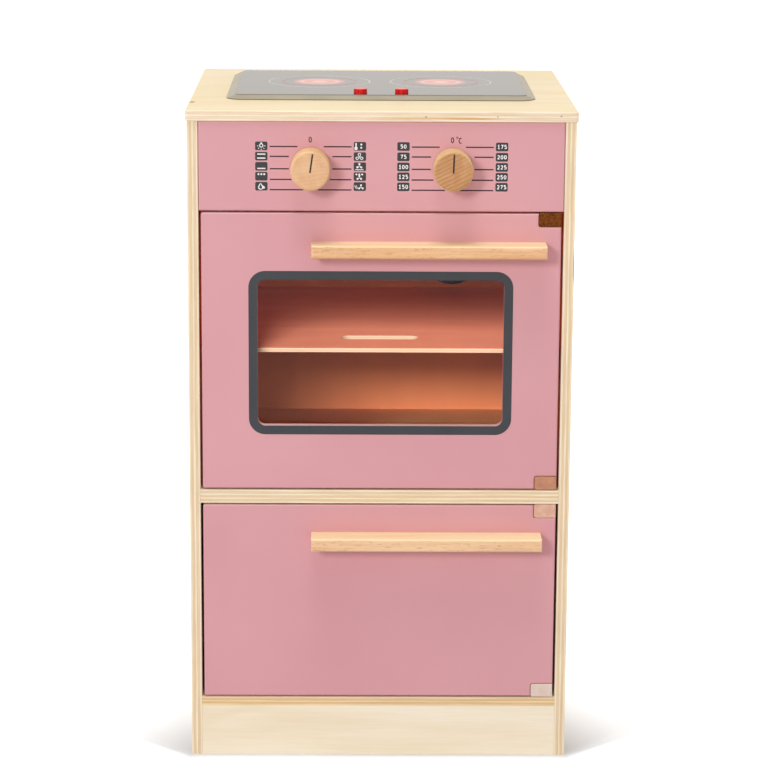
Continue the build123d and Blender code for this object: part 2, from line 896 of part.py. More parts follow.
door_spans = {
    "oven": (oven_door_bottom, oven_door_top),
    "lower": (lower_door_bottom, lower_door_top),
}
for door_name, (door_bottom, door_top) in door_spans.items():
    pieces[door_name + "_door"] = make_door(door_bottom, door_top, door_name == "oven")
    pieces[door_name + "_handle"] = make_handle(door_top)
    pieces[door_name + "_handle_screws"] = make_handle_screws(door_top)
    pieces[door_name + "_hinge_top"] = make_hinge_block(door_top, -1, door_top_gap)
    pieces[door_name + "_hinge_bottom"] = make_hinge_block(door_bottom, 1, door_bottom_gap)
    pieces[door_name + "_hinge_screws"] = make_hinge_screws(door_bottom, door_top)
    pieces[door_name + "_strike"] = make_strike(door_top)
    pieces[door_name + "_catch"] = make_catch(door_top + door_top_gap, door_top)
    pieces[door_name + "_magnet"] = make_magnet(door_top)

# ---- Oven window ---------------------------------------------------------------------------------

with BuildPart() as window_border:
    with BuildSketch(behind_front(border_recess)):
        with Locations((0, window_z)):
            RectangleRounded(
                border_outer_width - 2 * dowel_clearance,
                border_outer_height - 2 * dowel_clearance,
                border_outer_radius - dowel_clearance,
            )
            RectangleRounded(window_width, window_height, window_radius, mode=Mode.SUBTRACT)
    extrude(amount=border_thickness)
pieces["window_border"] = window_border

with BuildPart() as window_pane:
    with BuildSketch(behind_front(front_thickness - pane_recess)):
        with Locations((0, window_z)):
            Rectangle(pane_width, pane_height)
    extrude(amount=-pane_thickness)
    with Locations(*window_screw_places):
        Hole(small_screw["shank"] + screw_clearance)
pieces["window_pane"] = window_pane

with BuildPart() as window_screws:
    with Locations(*window_screw_places):
        add(small_screw_form)
pieces["window_screws"] = window_screws

# ---- Shelf ---------------------------------------------------------------------------------------

shelf_depth = cabinet_depth - back_thickness - shelf_setback - shelf_back_clearance
with BuildPart() as oven_shelf:
    with Locations((0, front_y + shelf_setback, shelf_bottom)):
        Box(
            inner_width - 2 * shelf_side_clearance,
            shelf_depth,
            shelf_thickness,
            align=(Align.CENTER, Align.MIN, Align.MIN),
        )
    fillet(oven_shelf.edges().filter_by(Axis.X).group_by(Axis.Y)[0], board_edge_radius)
    with BuildSketch(Plane.XY.offset(shelf_bottom)):
        with Locations((0, front_y + shelf_setback + shelf_slot_setback)):
            SlotOverall(shelf_slot_width, shelf_slot_depth)
    extrude(amount=shelf_thickness, mode=Mode.SUBTRACT)
pieces["oven_shelf"] = oven_shelf

with BuildPart() as shelf_pegs:
    with Locations(
        *[
            facing(side * (inner_width / 2 + peg_embed), y, z, (-side, 0, 0))
            for side, y, z in peg_places
        ]
    ):
        Cylinder(
            peg_radius, peg_embed + peg_reach, align=(Align.CENTER, Align.CENTER, Align.MIN)
        )
    chamfer(shelf_pegs.edges().filter_by(GeomType.CIRCLE), dowel_chamfer)
pieces["shelf_pegs"] = shelf_pegs

# ---- Hob module ----------------------------------------------------------------------------------

button_places = [(x, button_y) for x in both_sides(button_spacing / 2)]
ring_places = [(x, ring_y) for x in both_sides(ring_spacing / 2)]

with BuildPart() as hob_cover:
    with BuildSketch(Plane.XY.offset(worktop_top)):
        with Locations((0, hob_y)):
            RectangleRounded(hob_width, hob_depth, hob_radius)
    extrude(amount=hob_lip)
    with BuildSketch(Plane.XY.offset(worktop_top + hob_lip)):
        with Locations((0, hob_y)):
            RectangleRounded(hob_width, hob_depth, hob_radius)
    with BuildSketch(Plane.XY.offset(hob_top)):
        with Locations((0, hob_y)):
            RectangleRounded(plateau_width, plateau_depth, plate_radius + plate_inset)
    loft(ruled=True)
    with BuildSketch(Plane.XY.offset(skirt_bottom)):
        with Locations((0, hob_y)):
            RectangleRounded(skirt_width, skirt_depth_y, skirt_radius)
    extrude(amount=skirt_depth)
    with BuildSketch(Plane.XY.offset(skirt_bottom)):
        with Locations((0, hob_y)):
            RectangleRounded(
                skirt_width - 2 * skirt_wall, skirt_depth_y - 2 * skirt_wall, skirt_radius - skirt_wall
            )
    extrude(amount=plateau_underside - skirt_bottom, mode=Mode.SUBTRACT)
    with Locations(*[(x, y, hob_top) for x, y in button_places]):
        Hole(button_radius + button_clearance)
    with Locations(*[(x, y, hob_top) for x, y in ring_places]):
        Hole(cup_radius - cup_wall)
pieces["hob_cover"] = hob_cover

with BuildPart() as hob_plate:
    with BuildSketch(Plane.XY.offset(hob_top)):
        with Locations((0, hob_y)):
            RectangleRounded(
                plateau_width - 2 * plate_inset, plateau_depth - 2 * plate_inset, plate_radius
            )
        with Locations(*button_places):
            Circle(button_radius + button_clearance, mode=Mode.SUBTRACT)
    extrude(amount=plate_thickness)
pieces["hob_plate"] = hob_plate

with BuildPart() as module_tray:
    with BuildSketch(Plane.XY.offset(tray_top)):
        with Locations((0, hob_y)):
            RectangleRounded(tray_width, tray_length, hob_radius)
    extrude(amount=-tray_flange_thickness)
    with BuildSketch(Plane.XY.offset(tray_top - tray_flange_thickness)):
        with Locations((0, hob_y)):
            RectangleRounded(cutout_width, cutout_depth, skirt_radius)
    extrude(amount=tray_flange_thickness - tray_depth)
    with BuildSketch(Plane.XY.offset(tray_top)):
        with Locations((0, hob_y)):
            RectangleRounded(
                cutout_width - 2 * tray_wall, cutout_depth - 2 * tray_wall, skirt_radius - tray_wall
            )
    extrude(amount=tray_wall - tray_depth, mode=Mode.SUBTRACT)
    with Locations((0, hob_y, tray_floor)):
        with GridLocations(board_width - 4 * post_radius, board_length - 4 * post_radius, 2, 2):
            Cylinder(
                post_radius,
                board_bottom - tray_floor,
                align=(Align.CENTER, Align.CENTER, Align.MIN),
            )
    for ring_number in range(1, grille_ring_count + 1):
        with Locations((0, hob_y, tray_floor + tray_wall)):
            with PolarLocations(ring_number * grille_ring_pitch, ring_number * grille_ring_step):
                Hole(grille_hole_radius, tray_wall)
    with Locations(*tray_screw_places):
        Hole(small_screw["shank"] + screw_clearance)
pieces["module_tray"] = module_tray

with BuildPart() as tray_screws:
    with Locations(*tray_screw_places):
        add(small_screw_form)
pieces["tray_screws"] = tray_screws

with BuildPart() as circuit_board:
    with Locations((0, hob_y, board_bottom)):
        Box(
            board_width,
            board_length,
            board_thickness,
            align=(Align.CENTER, Align.CENTER, Align.MIN),
        )
pieces["circuit_board"] = circuit_board

with BuildPart() as light_cups:
    with Locations(*[(x, y, board_top) for x, y in ring_places]):
        Cylinder(
            cup_radius - cup_wall - cup_lens_gap,
            hob_top - cup_lens_gap - board_top,
            align=(Align.CENTER, Align.CENTER, Align.MIN),
        )
        Cylinder(
            cup_radius - 2 * cup_wall - cup_lens_gap,
            hob_top - cup_lens_gap - board_top,
            align=(Align.CENTER, Align.CENTER, Align.MIN),
            mode=Mode.SUBTRACT,
        )
pieces["light_cups"] = light_cups

with BuildPart() as diffusers:
    with Locations(*[(x, y, hob_top - cup_lens_gap) for x, y in ring_places]):
        Cylinder(
            cup_radius - 2 * cup_wall - cup_lens_gap - dowel_clearance,
            diffuser_thickness,
            align=(Align.CENTER, Align.CENTER, Align.MAX),
        )
pieces["diffusers"] = diffusers

with BuildPart() as leds:
    for ring_x, ring_center_y in ring_places:
        with Locations((ring_x, ring_center_y, board_top)):
            with PolarLocations(led_circle_radius, led_count):
                Cylinder(led_radius, led_height, align=(Align.CENTER, Align.CENTER, Align.MIN))
    fillet(leds.edges().group_by(Axis.Z)[-1], led_dome_radius)
pieces["leds"] = leds

with BuildPart() as speaker:
    with BuildSketch(Plane.XY.offset(tray_floor + tray_wall)):
        with Locations((0, hob_y)):
            Circle(speaker_radius)
    extrude(amount=speaker_rim_height)
    with BuildSketch(Plane.XY.offset(tray_floor + tray_wall + speaker_rim_height)):
        with Locations((0, hob_y)):
            Circle(speaker_magnet_radius)
    extrude(amount=speaker_magnet_height)
pieces["speaker"] = speaker

# ---- Push buttons and their switches -------------------------------------------------------------

stem_bottom = switch_top - stem_engagement


def make_button(x):
    """A red cap through the hob plate, kept in by its flange, with a stem in the switch."""
    with BuildPart() as button:
        with Locations((x, button_y, button_top)):
            Cylinder(
                button_radius,
                button_top - button_flange_top,
                align=(Align.CENTER, Align.CENTER, Align.MAX),
            )
        fillet(button.edges().group_by(Axis.Z)[-1], button_edge_radius)
        with Locations((x, button_y, button_flange_top)):
            Cylinder(
                button_flange_radius,
                button_flange_thickness,
                align=(Align.CENTER, Align.CENTER, Align.MAX),
            )
            Cylinder(
                stem_radius,
                button_flange_top - stem_bottom,
                align=(Align.CENTER, Align.CENTER, Align.MAX),
            )
    return button


for hand, side in (("left", -1), ("right", 1)):
    button_x = side * button_spacing / 2
    pieces[hand + "_button"] = make_button(button_x)

with BuildPart() as button_switches:
    with Locations(*[(x, y, board_top) for x, y in button_places]):
        Box(
            switch_side,
            switch_side,
            switch_height,
            align=(Align.CENTER, Align.CENTER, Align.MIN),
        )
    with Locations(*[(x, y, switch_top) for x, y in button_places]):
        Hole(
            stem_radius + switch_bore_clearance,
            stem_engagement + button_travel + switch_bore_margin,
        )
pieces["button_switches"] = button_switches

# ---- Labels and files ----------------------------------------------------------------------------

os.makedirs("parts", exist_ok=True)
for name, piece in pieces.items():
    piece.part.label = name
    export_step(piece.part, f"parts/{name}.step")
print(len(pieces), "nodes")
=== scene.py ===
import math

import bmesh
import bpy
from mathutils import Matrix, Vector


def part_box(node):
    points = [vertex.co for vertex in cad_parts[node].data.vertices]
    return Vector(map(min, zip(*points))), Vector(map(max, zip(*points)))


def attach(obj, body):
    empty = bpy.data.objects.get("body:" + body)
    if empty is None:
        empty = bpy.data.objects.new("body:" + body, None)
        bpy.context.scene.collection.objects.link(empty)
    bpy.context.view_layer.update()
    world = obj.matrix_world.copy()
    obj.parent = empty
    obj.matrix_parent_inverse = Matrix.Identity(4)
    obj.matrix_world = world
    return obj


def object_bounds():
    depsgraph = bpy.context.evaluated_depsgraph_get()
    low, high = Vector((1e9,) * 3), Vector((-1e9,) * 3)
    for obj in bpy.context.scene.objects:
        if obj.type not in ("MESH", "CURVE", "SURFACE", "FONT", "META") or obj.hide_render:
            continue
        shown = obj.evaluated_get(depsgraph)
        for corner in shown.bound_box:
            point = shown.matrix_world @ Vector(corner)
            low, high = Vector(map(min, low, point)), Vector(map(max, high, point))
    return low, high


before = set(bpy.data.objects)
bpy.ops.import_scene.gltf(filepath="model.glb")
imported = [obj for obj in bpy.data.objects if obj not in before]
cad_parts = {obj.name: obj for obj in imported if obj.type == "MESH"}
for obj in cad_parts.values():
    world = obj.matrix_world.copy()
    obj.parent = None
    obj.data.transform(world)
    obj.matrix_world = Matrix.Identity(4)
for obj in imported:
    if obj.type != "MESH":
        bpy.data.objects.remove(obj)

# The looks of a wooden toy oven: finishes for every part of the imported frame, the printed marks on
# its dial panel and hob, a dark sheet behind its vent that keeps light out, a pale floor, soft
# studio light and a camera.
# Metres, +Z up, front to -Y.

cad_low, cad_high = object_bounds()
MM = 0.001

# ---- Places taken from the frame ----

front_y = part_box("oven_door")[0].y
hob_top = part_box("hob_plate")[1].z
cups_low, cups_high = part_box("light_cups")
ring_y = (cups_low.y + cups_high.y) / 2
ring_x = cups_high.x - (cups_high.y - cups_low.y) / 2
dial_x = {}
dial_z = {}
for side in ("left", "right"):
    knob_low, knob_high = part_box(side + "_knob")
    dial_x[side] = (knob_low.x + knob_high.x) / 2
    dial_z[side] = (knob_low.z + knob_high.z) / 2

# ---- Node helpers ----

WHITE = (1.0, 1.0, 1.0, 1.0)
MIX_FACTOR, MIX_FIRST, MIX_SECOND, MIX_RESULT = 0, 6, 7, 2  # Colour sockets of a Mix node.


def srgb(red, green, blue):
    """A colour written as it looks on screen, 0 to 255, as Blender's linear RGBA."""
    channels = []
    for value in (red, green, blue):
        share = value / 255
        channels.append(share / 12.92 if share <= 0.04045 else ((share + 0.055) / 1.055) ** 2.4)
    return (*channels, 1.0)


class Nodes:
    """Short calls for the nodes of one tree. Each input is an output to link, or a value."""

    def __init__(self, tree):
        self.tree = tree

    def feed(self, socket, value):
        if isinstance(value, bpy.types.NodeSocket):
            self.tree.links.new(value, socket)
        else:
            socket.default_value = value

    def node(self, kind, inputs=None, **settings):
        made = self.tree.nodes.new(kind)
        for setting, value in settings.items():
            setattr(made, setting, value)
        for socket, value in (inputs or {}).items():
            self.feed(made.inputs[socket], value)
        return made

    def maths(self, operation, first, second=0.0, third=0.0):
        made = self.node("ShaderNodeMath", {0: first, 1: second, 2: third}, operation=operation)
        return made.outputs[0]

    def vector_maths(self, operation, first, second=(0.0, 0.0, 0.0)):
        made = self.node("ShaderNodeVectorMath", {0: first, 1: second}, operation=operation)
        return made.outputs["Value" if operation == "LENGTH" else "Vector"]

    def spread(self, value, start=0.0, end=1.0, low=0.0, high=1.0):
        """A value carried from the range start to end into the range low to high."""
        ends = {"From Min": start, "From Max": end, "To Min": low, "To Max": high}
        return self.node("ShaderNodeMapRange", {"Value": value, **ends}).outputs[0]

    def axis(self, vector, name):
        return self.node("ShaderNodeSeparateXYZ", {0: vector}).outputs[name.upper()]

    def blend(self, factor, first, second):
        inputs = {MIX_FACTOR: factor, MIX_FIRST: first, MIX_SECOND: second}
        return self.node("ShaderNodeMix", inputs, data_type="RGBA").outputs[MIX_RESULT]

    def ramp(self, factor, stops):
        """A colour ramp from (position, colour) pairs. A plain number stands for a grey."""
        made = self.node("ShaderNodeValToRGB", {"Fac": factor})
        elements = made.color_ramp.elements
        while len(elements) < len(stops):
            elements.new(1.0)
        for element, (position, colour) in zip(elements, stops):
            element.position = position
            element.color = colour if isinstance(colour, tuple) else (colour, colour, colour, 1.0)
        return made.outputs["Color"]

    def drift(self, factor, deep, colour, low=0.35, high=0.65):
        """A drift from a deeper tone to another as the factor goes from low to high."""
        return self.ramp(factor, [(low, deep), (high, colour)])

    def overlay(self, under, tone, factor, *stops):
        """A tone laid over a colour, as strongly as a ramp of the factor says."""
        return self.blend(self.ramp(factor, stops), under, tone)

    def looked_at(self):
        """1 for what the camera sees, straight or in a mirror, and 0 for gathered light."""
        path = self.node("ShaderNodeLightPath").outputs
        straight = self.maths("MAXIMUM", path["Is Camera Ray"], path["Is Glossy Ray"])
        return self.maths("MAXIMUM", straight, path["Is Transmission Ray"])


class Finish(Nodes):
    """A material with one Principled shader."""

    def __init__(self, name, **constants):
        self.material = bpy.data.materials.new(name)
        self.material.use_nodes = True
        super().__init__(self.material.node_tree)
        self.shader = self.tree.nodes["Principled BSDF"]
        for socket, value in constants.items():
            self.shader.inputs[socket.replace("_", " ")].default_value = value
        places = self.node("ShaderNodeTexCoord")
        self.place = places.outputs["Object"]
        self.normal = places.outputs["Normal"]

    def stretched(self, scale, turn=(0.0, 0.0, 0.0)):
        """Object coordinates multiplied by the scale, after a turn."""
        turned = self.node("ShaderNodeMapping", {"Vector": self.place, "Rotation": turn})
        made = self.node("ShaderNodeMapping", {"Vector": turned.outputs[0], "Scale": scale})
        return made.outputs[0]

    def noise(self, vector, scale, detail=3.0, roughness=0.5, distortion=0.0):
        inputs = {"Vector": vector, "Scale": scale, "Detail": detail}
        inputs.update({"Roughness": roughness, "Distortion": distortion})
        return self.node("ShaderNodeTexNoise", inputs).outputs["Fac"]

    def facing(self, name):
        """How far a face looks along an axis, either way."""
        return self.maths("ABSOLUTE", self.axis(self.normal, name))

    def colour(self, value):
        self.feed(self.shader.inputs["Base Color"], value)

    def roughness(self, factor, low, high):
        self.feed(self.shader.inputs["Roughness"], self.spread(factor, low=low, high=high))

    def bump(self, height, distance, strength):
        inputs = {"Height": height, "Distance": distance, "Strength": strength}
        self.feed(self.shader.inputs["Normal"], self.node("ShaderNodeBump", inputs).outputs[0])


def dress(finish, *nodes):
    """Gives CAD nodes a finish."""
    for node in nodes:
        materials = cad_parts[node].data.materials
        materials.clear()
        materials.append(finish.material)


# ---- Wood ----

AXES = "xyz"
LOW_FACE, HIGH_FACE, BOTH_FACES = -1, 1, 2  # The faces of a board, across its thickness.
flat_limit = 0.6  # A face counts as looking along an axis from this share of its normal.
shading_margin = 0.5 * MM
oven_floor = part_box("divider_board")[1].z - shading_margin
oven_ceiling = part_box("ceiling_board")[0].z + shading_margin
door_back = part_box("oven_door")[1].y
birch = (srgb(240, 222, 188), srgb(249, 236, 208), srgb(252, 242, 218))
birch_edges = (srgb(251, 237, 208), srgb(239, 213, 172))
glue_tone = srgb(216, 182, 132)
glue_share = 0.016
ply_wander = 1.0 * MM
# Painted light and shade inside the oven: a darker, redder shade on its walls and ceiling, a
# brighter orange on its floor for the little light there, and a pink on its shelf for light bounced
# off the door.
oven_painted_shade = (srgb(226, 126, 66), srgb(240, 142, 76))
oven_floor_painted_light = (srgb(255, 206, 126), srgb(255, 214, 138))
shelf_painted_bounce = (srgb(236, 142, 104), srgb(248, 158, 118))


def along(grain, lengthwise, crosswise=1.0):
    """A scale for a texture that is stretched along the grain's axis."""
    return tuple(lengthwise if axis == grain else crosswise for axis in AXES)


def blemish(finish, under, middle, reach, tone, strength):
    """A soft mark of another tone. Its reach is its half size along each axis."""
    away = finish.vector_maths("SUBTRACT", finish.place, middle)
    length = finish.vector_maths("LENGTH", finish.vector_maths("DIVIDE", away, reach))
    return finish.overlay(under, tone, length, (0.4, strength), (1.0, 0.0))


def ply_stripes(plies, edges):
    """Ramp stops for the plies of an edge, with a darker glue line between each two."""
    stops = []
    for ply in range(plies):
        start, end = ply / plies, (ply + 1) / plies
        tone = edges[ply % 2]
        stops += [(start + glue_share, tone), (end - glue_share, tone)]
        if ply < plies - 1:
            stops.append((end, glue_tone))
    return stops


def inside_oven(finish, thickness, shaded_faces):
    """1 on the faces of a board that get the oven's painted shade and light: between the oven's
    floor and ceiling, behind its door.
    """
    side = finish.facing(thickness)
    if shaded_faces != BOTH_FACES:
        side = finish.maths("MULTIPLY", finish.axis(finish.normal, thickness), float(shaded_faces))
    height = finish.axis(finish.place, "z")
    here = finish.maths("GREATER_THAN", side, flat_limit)
    for operation, value, limit in (
        ("GREATER_THAN", height, oven_floor),
        ("LESS_THAN", height, oven_ceiling),
        ("GREATER_THAN", finish.axis(finish.place, "y"), door_back),
    ):
        here = finish.maths("MULTIPLY", here, finish.maths(operation, value, limit))
    return here


def plywood(
    name,
    node,
    thickness,
    grain,
    plies,
    tones=birch,
    edges=birch_edges,
    shaded_faces=None,
    shading_tones=oven_painted_shade,
    marks=(),
):
    """Birch plywood: calm cream veneer on its faces, and its plies in stripes on its edges.

    Inside the oven the named faces get a painted tint over the veneer: painted shade for the dim,
    reddish light in there, and painted bounce light on the oven's floor and shelf.
    """
    low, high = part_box(node)
    finish = Finish(name, Roughness=0.55, Coat_Weight=0.12, Coat_Roughness=0.35)

    figure = finish.noise(
        finish.stretched(along(grain, 0.16)), 22.0, detail=4.0, roughness=0.55, distortion=1.2
    )
    veneer = finish.ramp(figure, list(zip((0.34, 0.52, 0.70), tones)))
    fibres = finish.noise(finish.stretched(along(grain, 0.03)), 900.0, detail=2.0, roughness=0.6)
    veneer = finish.overlay(veneer, srgb(214, 186, 142), fibres, (0.30, 0.10), (0.62, 0.0))
    patches = finish.noise(
        finish.stretched(along(grain, 0.10)), 60.0, detail=5.0, roughness=0.6, distortion=0.6
    )
    veneer = finish.overlay(veneer, srgb(206, 172, 124), patches, (0.70, 0.0), (0.80, 0.45))

    start, end = getattr(low, thickness), getattr(high, thickness)
    wander = finish.noise(finish.stretched(along(grain, 0.35)), 16.0)
    wander = finish.maths("MULTIPLY_ADD", wander, ply_wander, -ply_wander / 2)
    depth = finish.maths("ADD", finish.axis(finish.place, thickness), wander)
    level = finish.maths("DIVIDE", finish.maths("SUBTRACT", depth, start), end - start)
    edge = finish.ramp(level, ply_stripes(plies, edges))
    across = along(thickness, 1.0, 0.05)
    streaks = finish.noise(finish.stretched(across), 420.0, detail=4.0, roughness=0.65)
    edge = finish.overlay(edge, srgb(196, 156, 104), streaks, (0.36, 0.30), (0.60, 0.0))

    # Over the veneer on the faces inside the oven: painted shade, and painted bounce light on its
    # floor and shelf.
    if shaded_faces:
        painted_oven_shading = finish.drift(figure, *shading_tones, 0.30, 0.70)
        veneer = finish.blend(inside_oven(finish, thickness, shaded_faces), veneer, painted_oven_shading)
    on_face = finish.maths("GREATER_THAN", finish.facing(thickness), flat_limit)
    wood = finish.blend(on_face, edge, veneer)
    for mark in marks:
        wood = blemish(finish, wood, *mark)
    finish.colour(wood)
    finish.roughness(fibres, 0.46, 0.62)
    finish.bump(finish.maths("ADD", fibres, streaks), 0.06 * MM, 0.5)
    return finish


beech_ground = srgb(236, 184, 131)
top_lit_beech = (srgb(252, 234, 180), srgb(255, 243, 194))
turned_beech = (srgb(232, 201, 134), srgb(239, 214, 151))
burnt_tone = srgb(34, 16, 8)
groove_reach = 13.4 * MM
groove_start = 0.1 * MM


def beech(name, grain, ground=beech_ground, lines=0.35):
    """Oiled beech: an orange-pink ground, growth lines and short dark flecks along the grain.

    Its upper faces are painted paler, as light and sheen from above.
    """
    finish = Finish(name, Roughness=0.45, Coat_Weight=0.3, Coat_Roughness=0.3)
    tones = finish.noise(
        finish.stretched(along(grain, 0.08)), 90.0, detail=4.0, roughness=0.55, distortion=0.4
    )
    wood = finish.ramp(
        tones, [(0.32, srgb(226, 172, 122)), (0.50, ground), (0.70, srgb(246, 206, 160))]
    )
    growth = finish.noise(finish.stretched(along(grain, 0.035)), 420.0, distortion=0.5)
    wood = finish.overlay(wood, srgb(196, 138, 88), growth, (0.34, lines), (0.50, 0.0))
    flecks = finish.noise(finish.stretched(along(grain, 0.12)), 1500.0, detail=2.0)
    wood = finish.overlay(wood, srgb(168, 112, 66), flecks, (0.30, 0.55), (0.40, 0.0))
    # Painted top light: upward faces paler, as if lit and sheened from above.
    upper = finish.ramp(finish.axis(finish.normal, "z"), [(0.4, 0.0), (0.9, 0.75)])
    finish.colour(finish.blend(upper, wood, finish.drift(tones, *top_lit_beech, 0.3, 0.7)))
    finish.roughness(tones, 0.38, 0.55)
    finish.bump(flecks, 0.05 * MM, 0.5)
    return finish


def knob_wood(name, node, tones_of_wood, line_turn, line_strength):
    """Beech for a knob: growth lines across its face, and its pointer burnt dark."""
    low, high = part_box(node)
    finish = Finish(
        name, Roughness=0.45, Specular_IOR_Level=0.35, Coat_Weight=0.15, Coat_Roughness=0.3
    )
    tones = finish.noise(
        finish.stretched((1.0, 0.3, 1.0)), 70.0, detail=4.0, roughness=0.55, distortion=0.4
    )
    wood = finish.ramp(tones, list(zip((0.30, 0.52, 0.72), tones_of_wood)))
    rings = finish.node(
        "ShaderNodeTexWave",
        {
            "Vector": finish.stretched((1.0, 0.2, 1.0), (0.0, line_turn, 0.0)),
            "Scale": 110.0,
            "Distortion": 3.0,
            "Detail": 2.0,
            "Detail Scale": 0.6,
        },
        bands_direction="Z",
    )
    fading = finish.noise(finish.stretched((1.0, 0.3, 1.0)), 45.0, detail=2.0)
    strength = finish.maths(
        "MULTIPLY",
        finish.ramp(rings.outputs["Fac"], [(0.62, 0.0), (0.92, line_strength)]),
        finish.ramp(fading, [(0.35, 0.35), (0.60, 1.0)]),
    )
    wood = finish.blend(strength, wood, srgb(176, 116, 66))
    pores = finish.noise(finish.stretched((1.0, 0.15, 1.0)), 1700.0, detail=2.0)
    wood = finish.overlay(wood, srgb(170, 114, 68), pores, (0.30, 0.5), (0.39, 0.0))
    rim = finish.ramp(finish.facing("y"), [(0.3, 0.8), (0.9, 0.0)])
    wood = finish.blend(rim, wood, finish.drift(tones, *turned_beech, 0.3, 0.7))

    middle = ((low.x + high.x) / 2, low.y, (low.z + high.z) / 2)
    flat = finish.vector_maths(
        "MULTIPLY", finish.vector_maths("SUBTRACT", finish.place, middle), (1.0, 0.0, 1.0)
    )
    inside = finish.maths("LESS_THAN", finish.vector_maths("LENGTH", flat), groove_reach)
    sunk = finish.maths("GREATER_THAN", finish.axis(finish.place, "y"), low.y + groove_start)
    finish.colour(finish.blend(finish.maths("MULTIPLY", inside, sunk), wood, burnt_tone))
    finish.roughness(tones, 0.38, 0.55)
    finish.bump(pores, 0.05 * MM, 0.5)
    return finish


worktop_tones = (srgb(244, 225, 179), srgb(247, 230, 188), srgb(250, 235, 199))
worktop_edges = (srgb(253, 239, 214), srgb(247, 226, 194))
# The back board's veneer: birch painted darker all over, as shade for its face inside the cupboard.
back_shaded_tones = (srgb(212, 188, 148), srgb(220, 198, 158), srgb(227, 206, 168))
bottom_edges = (srgb(246, 218, 172), srgb(232, 196, 142))
# The shelf's ply edges: the birch edges painted darker, as shade against the strong lamps inside the
# oven.
shelf_shaded_edges = (srgb(194, 160, 128), srgb(176, 142, 110))
pale_beech = (srgb(222, 172, 124), srgb(231, 183, 138), srgb(238, 196, 152))
brown_beech = (srgb(188, 134, 84), srgb(202, 150, 100), srgb(214, 166, 118))
knot = srgb(112, 76, 46)

# Marks on the boards: middle, reach, tone and strength.
worktop_marks = [
    ((0.036, -0.1333, 0.5112), (0.064, 0.003, 0.0008), srgb(224, 172, 96), 0.6),
    ((0.068, -0.1333, 0.5110), (0.030, 0.003, 0.0009), srgb(214, 164, 78), 0.9),
    ((0.0335, -0.1333, 0.5123), (0.0010, 0.002, 0.0007), knot, 0.8),
    ((0.0882, -0.1333, 0.5126), (0.0009, 0.002, 0.0006), knot, 0.7),
    ((0.1365, -0.1333, 0.5133), (0.0010, 0.002, 0.0007), knot, 0.8),
    ((-0.1470, -0.0843, 0.5170), (0.0030, 0.008, 0.002), srgb(176, 142, 92), 0.9),
]
right_marks = [((0.1483, -0.1318, 0.396), (0.0007, 0.003, 0.018), srgb(164, 116, 68), 0.75)]

worktop_looks = {"tones": worktop_tones, "edges": worktop_edges, "marks": worktop_marks}
right_side_looks = {"shaded_faces": LOW_FACE, "marks": right_marks}
shelf_looks = {"edges": shelf_shaded_edges, "shaded_faces": BOTH_FACES, "shading_tones": shelf_painted_bounce}
for node, name, thickness, grain, plies, looks in (
    ("worktop", "worktop_ply", "z", "x", 5, worktop_looks),
    ("side_panel_left", "left_side_ply", "x", "z", 5, {"shaded_faces": HIGH_FACE}),
    ("side_panel_right", "right_side_ply", "x", "z", 5, right_side_looks),
    ("bottom_board", "bottom_ply", "z", "x", 5, {"edges": bottom_edges}),
    ("divider_board", "divider_ply", "z", "x", 7, {"shaded_faces": HIGH_FACE, "shading_tones": oven_floor_painted_light}),
    ("ceiling_board", "ceiling_ply", "z", "x", 5, {"shaded_faces": LOW_FACE}),
    ("plinth_board", "plinth_ply", "y", "x", 5, {}),
    ("back_panel", "back_ply", "y", "z", 3, {"tones": back_shaded_tones, "shaded_faces": LOW_FACE}),
    ("oven_shelf", "shelf_ply", "z", "x", 3, shelf_looks),
):
    dress(plywood(name, node, thickness, grain, plies, **looks), node)

dress(beech("oven_handle_beech", "x"), "oven_handle")
dress(beech("lower_handle_beech", "x", srgb(243, 198, 152), 0.25), "lower_handle")
dress(beech("peg_beech", "x"), "shelf_pegs", "worktop_dowels")
for node, tones, line_turn, line_strength in (
    ("left_knob", pale_beech, math.radians(8), 0.10),
    ("right_knob", brown_beech, math.radians(27), 0.8),
):
    dress(knob_wood(node + "_beech", node, tones, line_turn, line_strength), node)

# ---- Paint, plastic, glass and metal ----

fine_bump = 0.03 * MM
plastic_grain = 1400.0
painted_glow_radius = 21.5 * MM
painted_glow_strength = 0.40
worktop_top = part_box("worktop")[1].z
contact_shadow_height = 0.7 * MM
rib_scale = 90.0
pane_ior = 1.29
battery_end = 4.0 * MM


def lacquer():
    """Pink lacquer on board: satin, with a faint orange peel, painted paler on upward faces as light
    from above.
    """
    finish = Finish("pink_lacquer", Roughness=0.42, Coat_Weight=0.1, Coat_Roughness=0.3)
    tone = finish.drift(finish.noise(finish.place, 7.0), srgb(216, 155, 161), srgb(220, 161, 166))
    # Painted highlight: upward faces, such as the window's sill, paler as if lit from above.
    height = finish.axis(finish.normal, "z")
    finish.colour(finish.overlay(tone, srgb(240, 196, 194), height, (0.5, 0.0), (0.9, 1.0)))
    peel = finish.noise(finish.place, 900.0, detail=2.0)
    finish.roughness(peel, 0.38, 0.50)
    finish.bump(peel, fine_bump, 0.35)
    return finish


def moulded(name, colour, deep, low=0.35, high=0.5, depth=fine_bump, **constants):
    """Moulded plastic with a fine texture and a slight drift between two close tones."""
    finish = Finish(name, **constants)
    finish.colour(finish.drift(finish.noise(finish.place, 40.0), deep, colour))
    texture = finish.noise(finish.place, plastic_grain, detail=2.0)
    finish.roughness(texture, low, high)
    finish.bump(texture, depth, 0.4)
    return finish


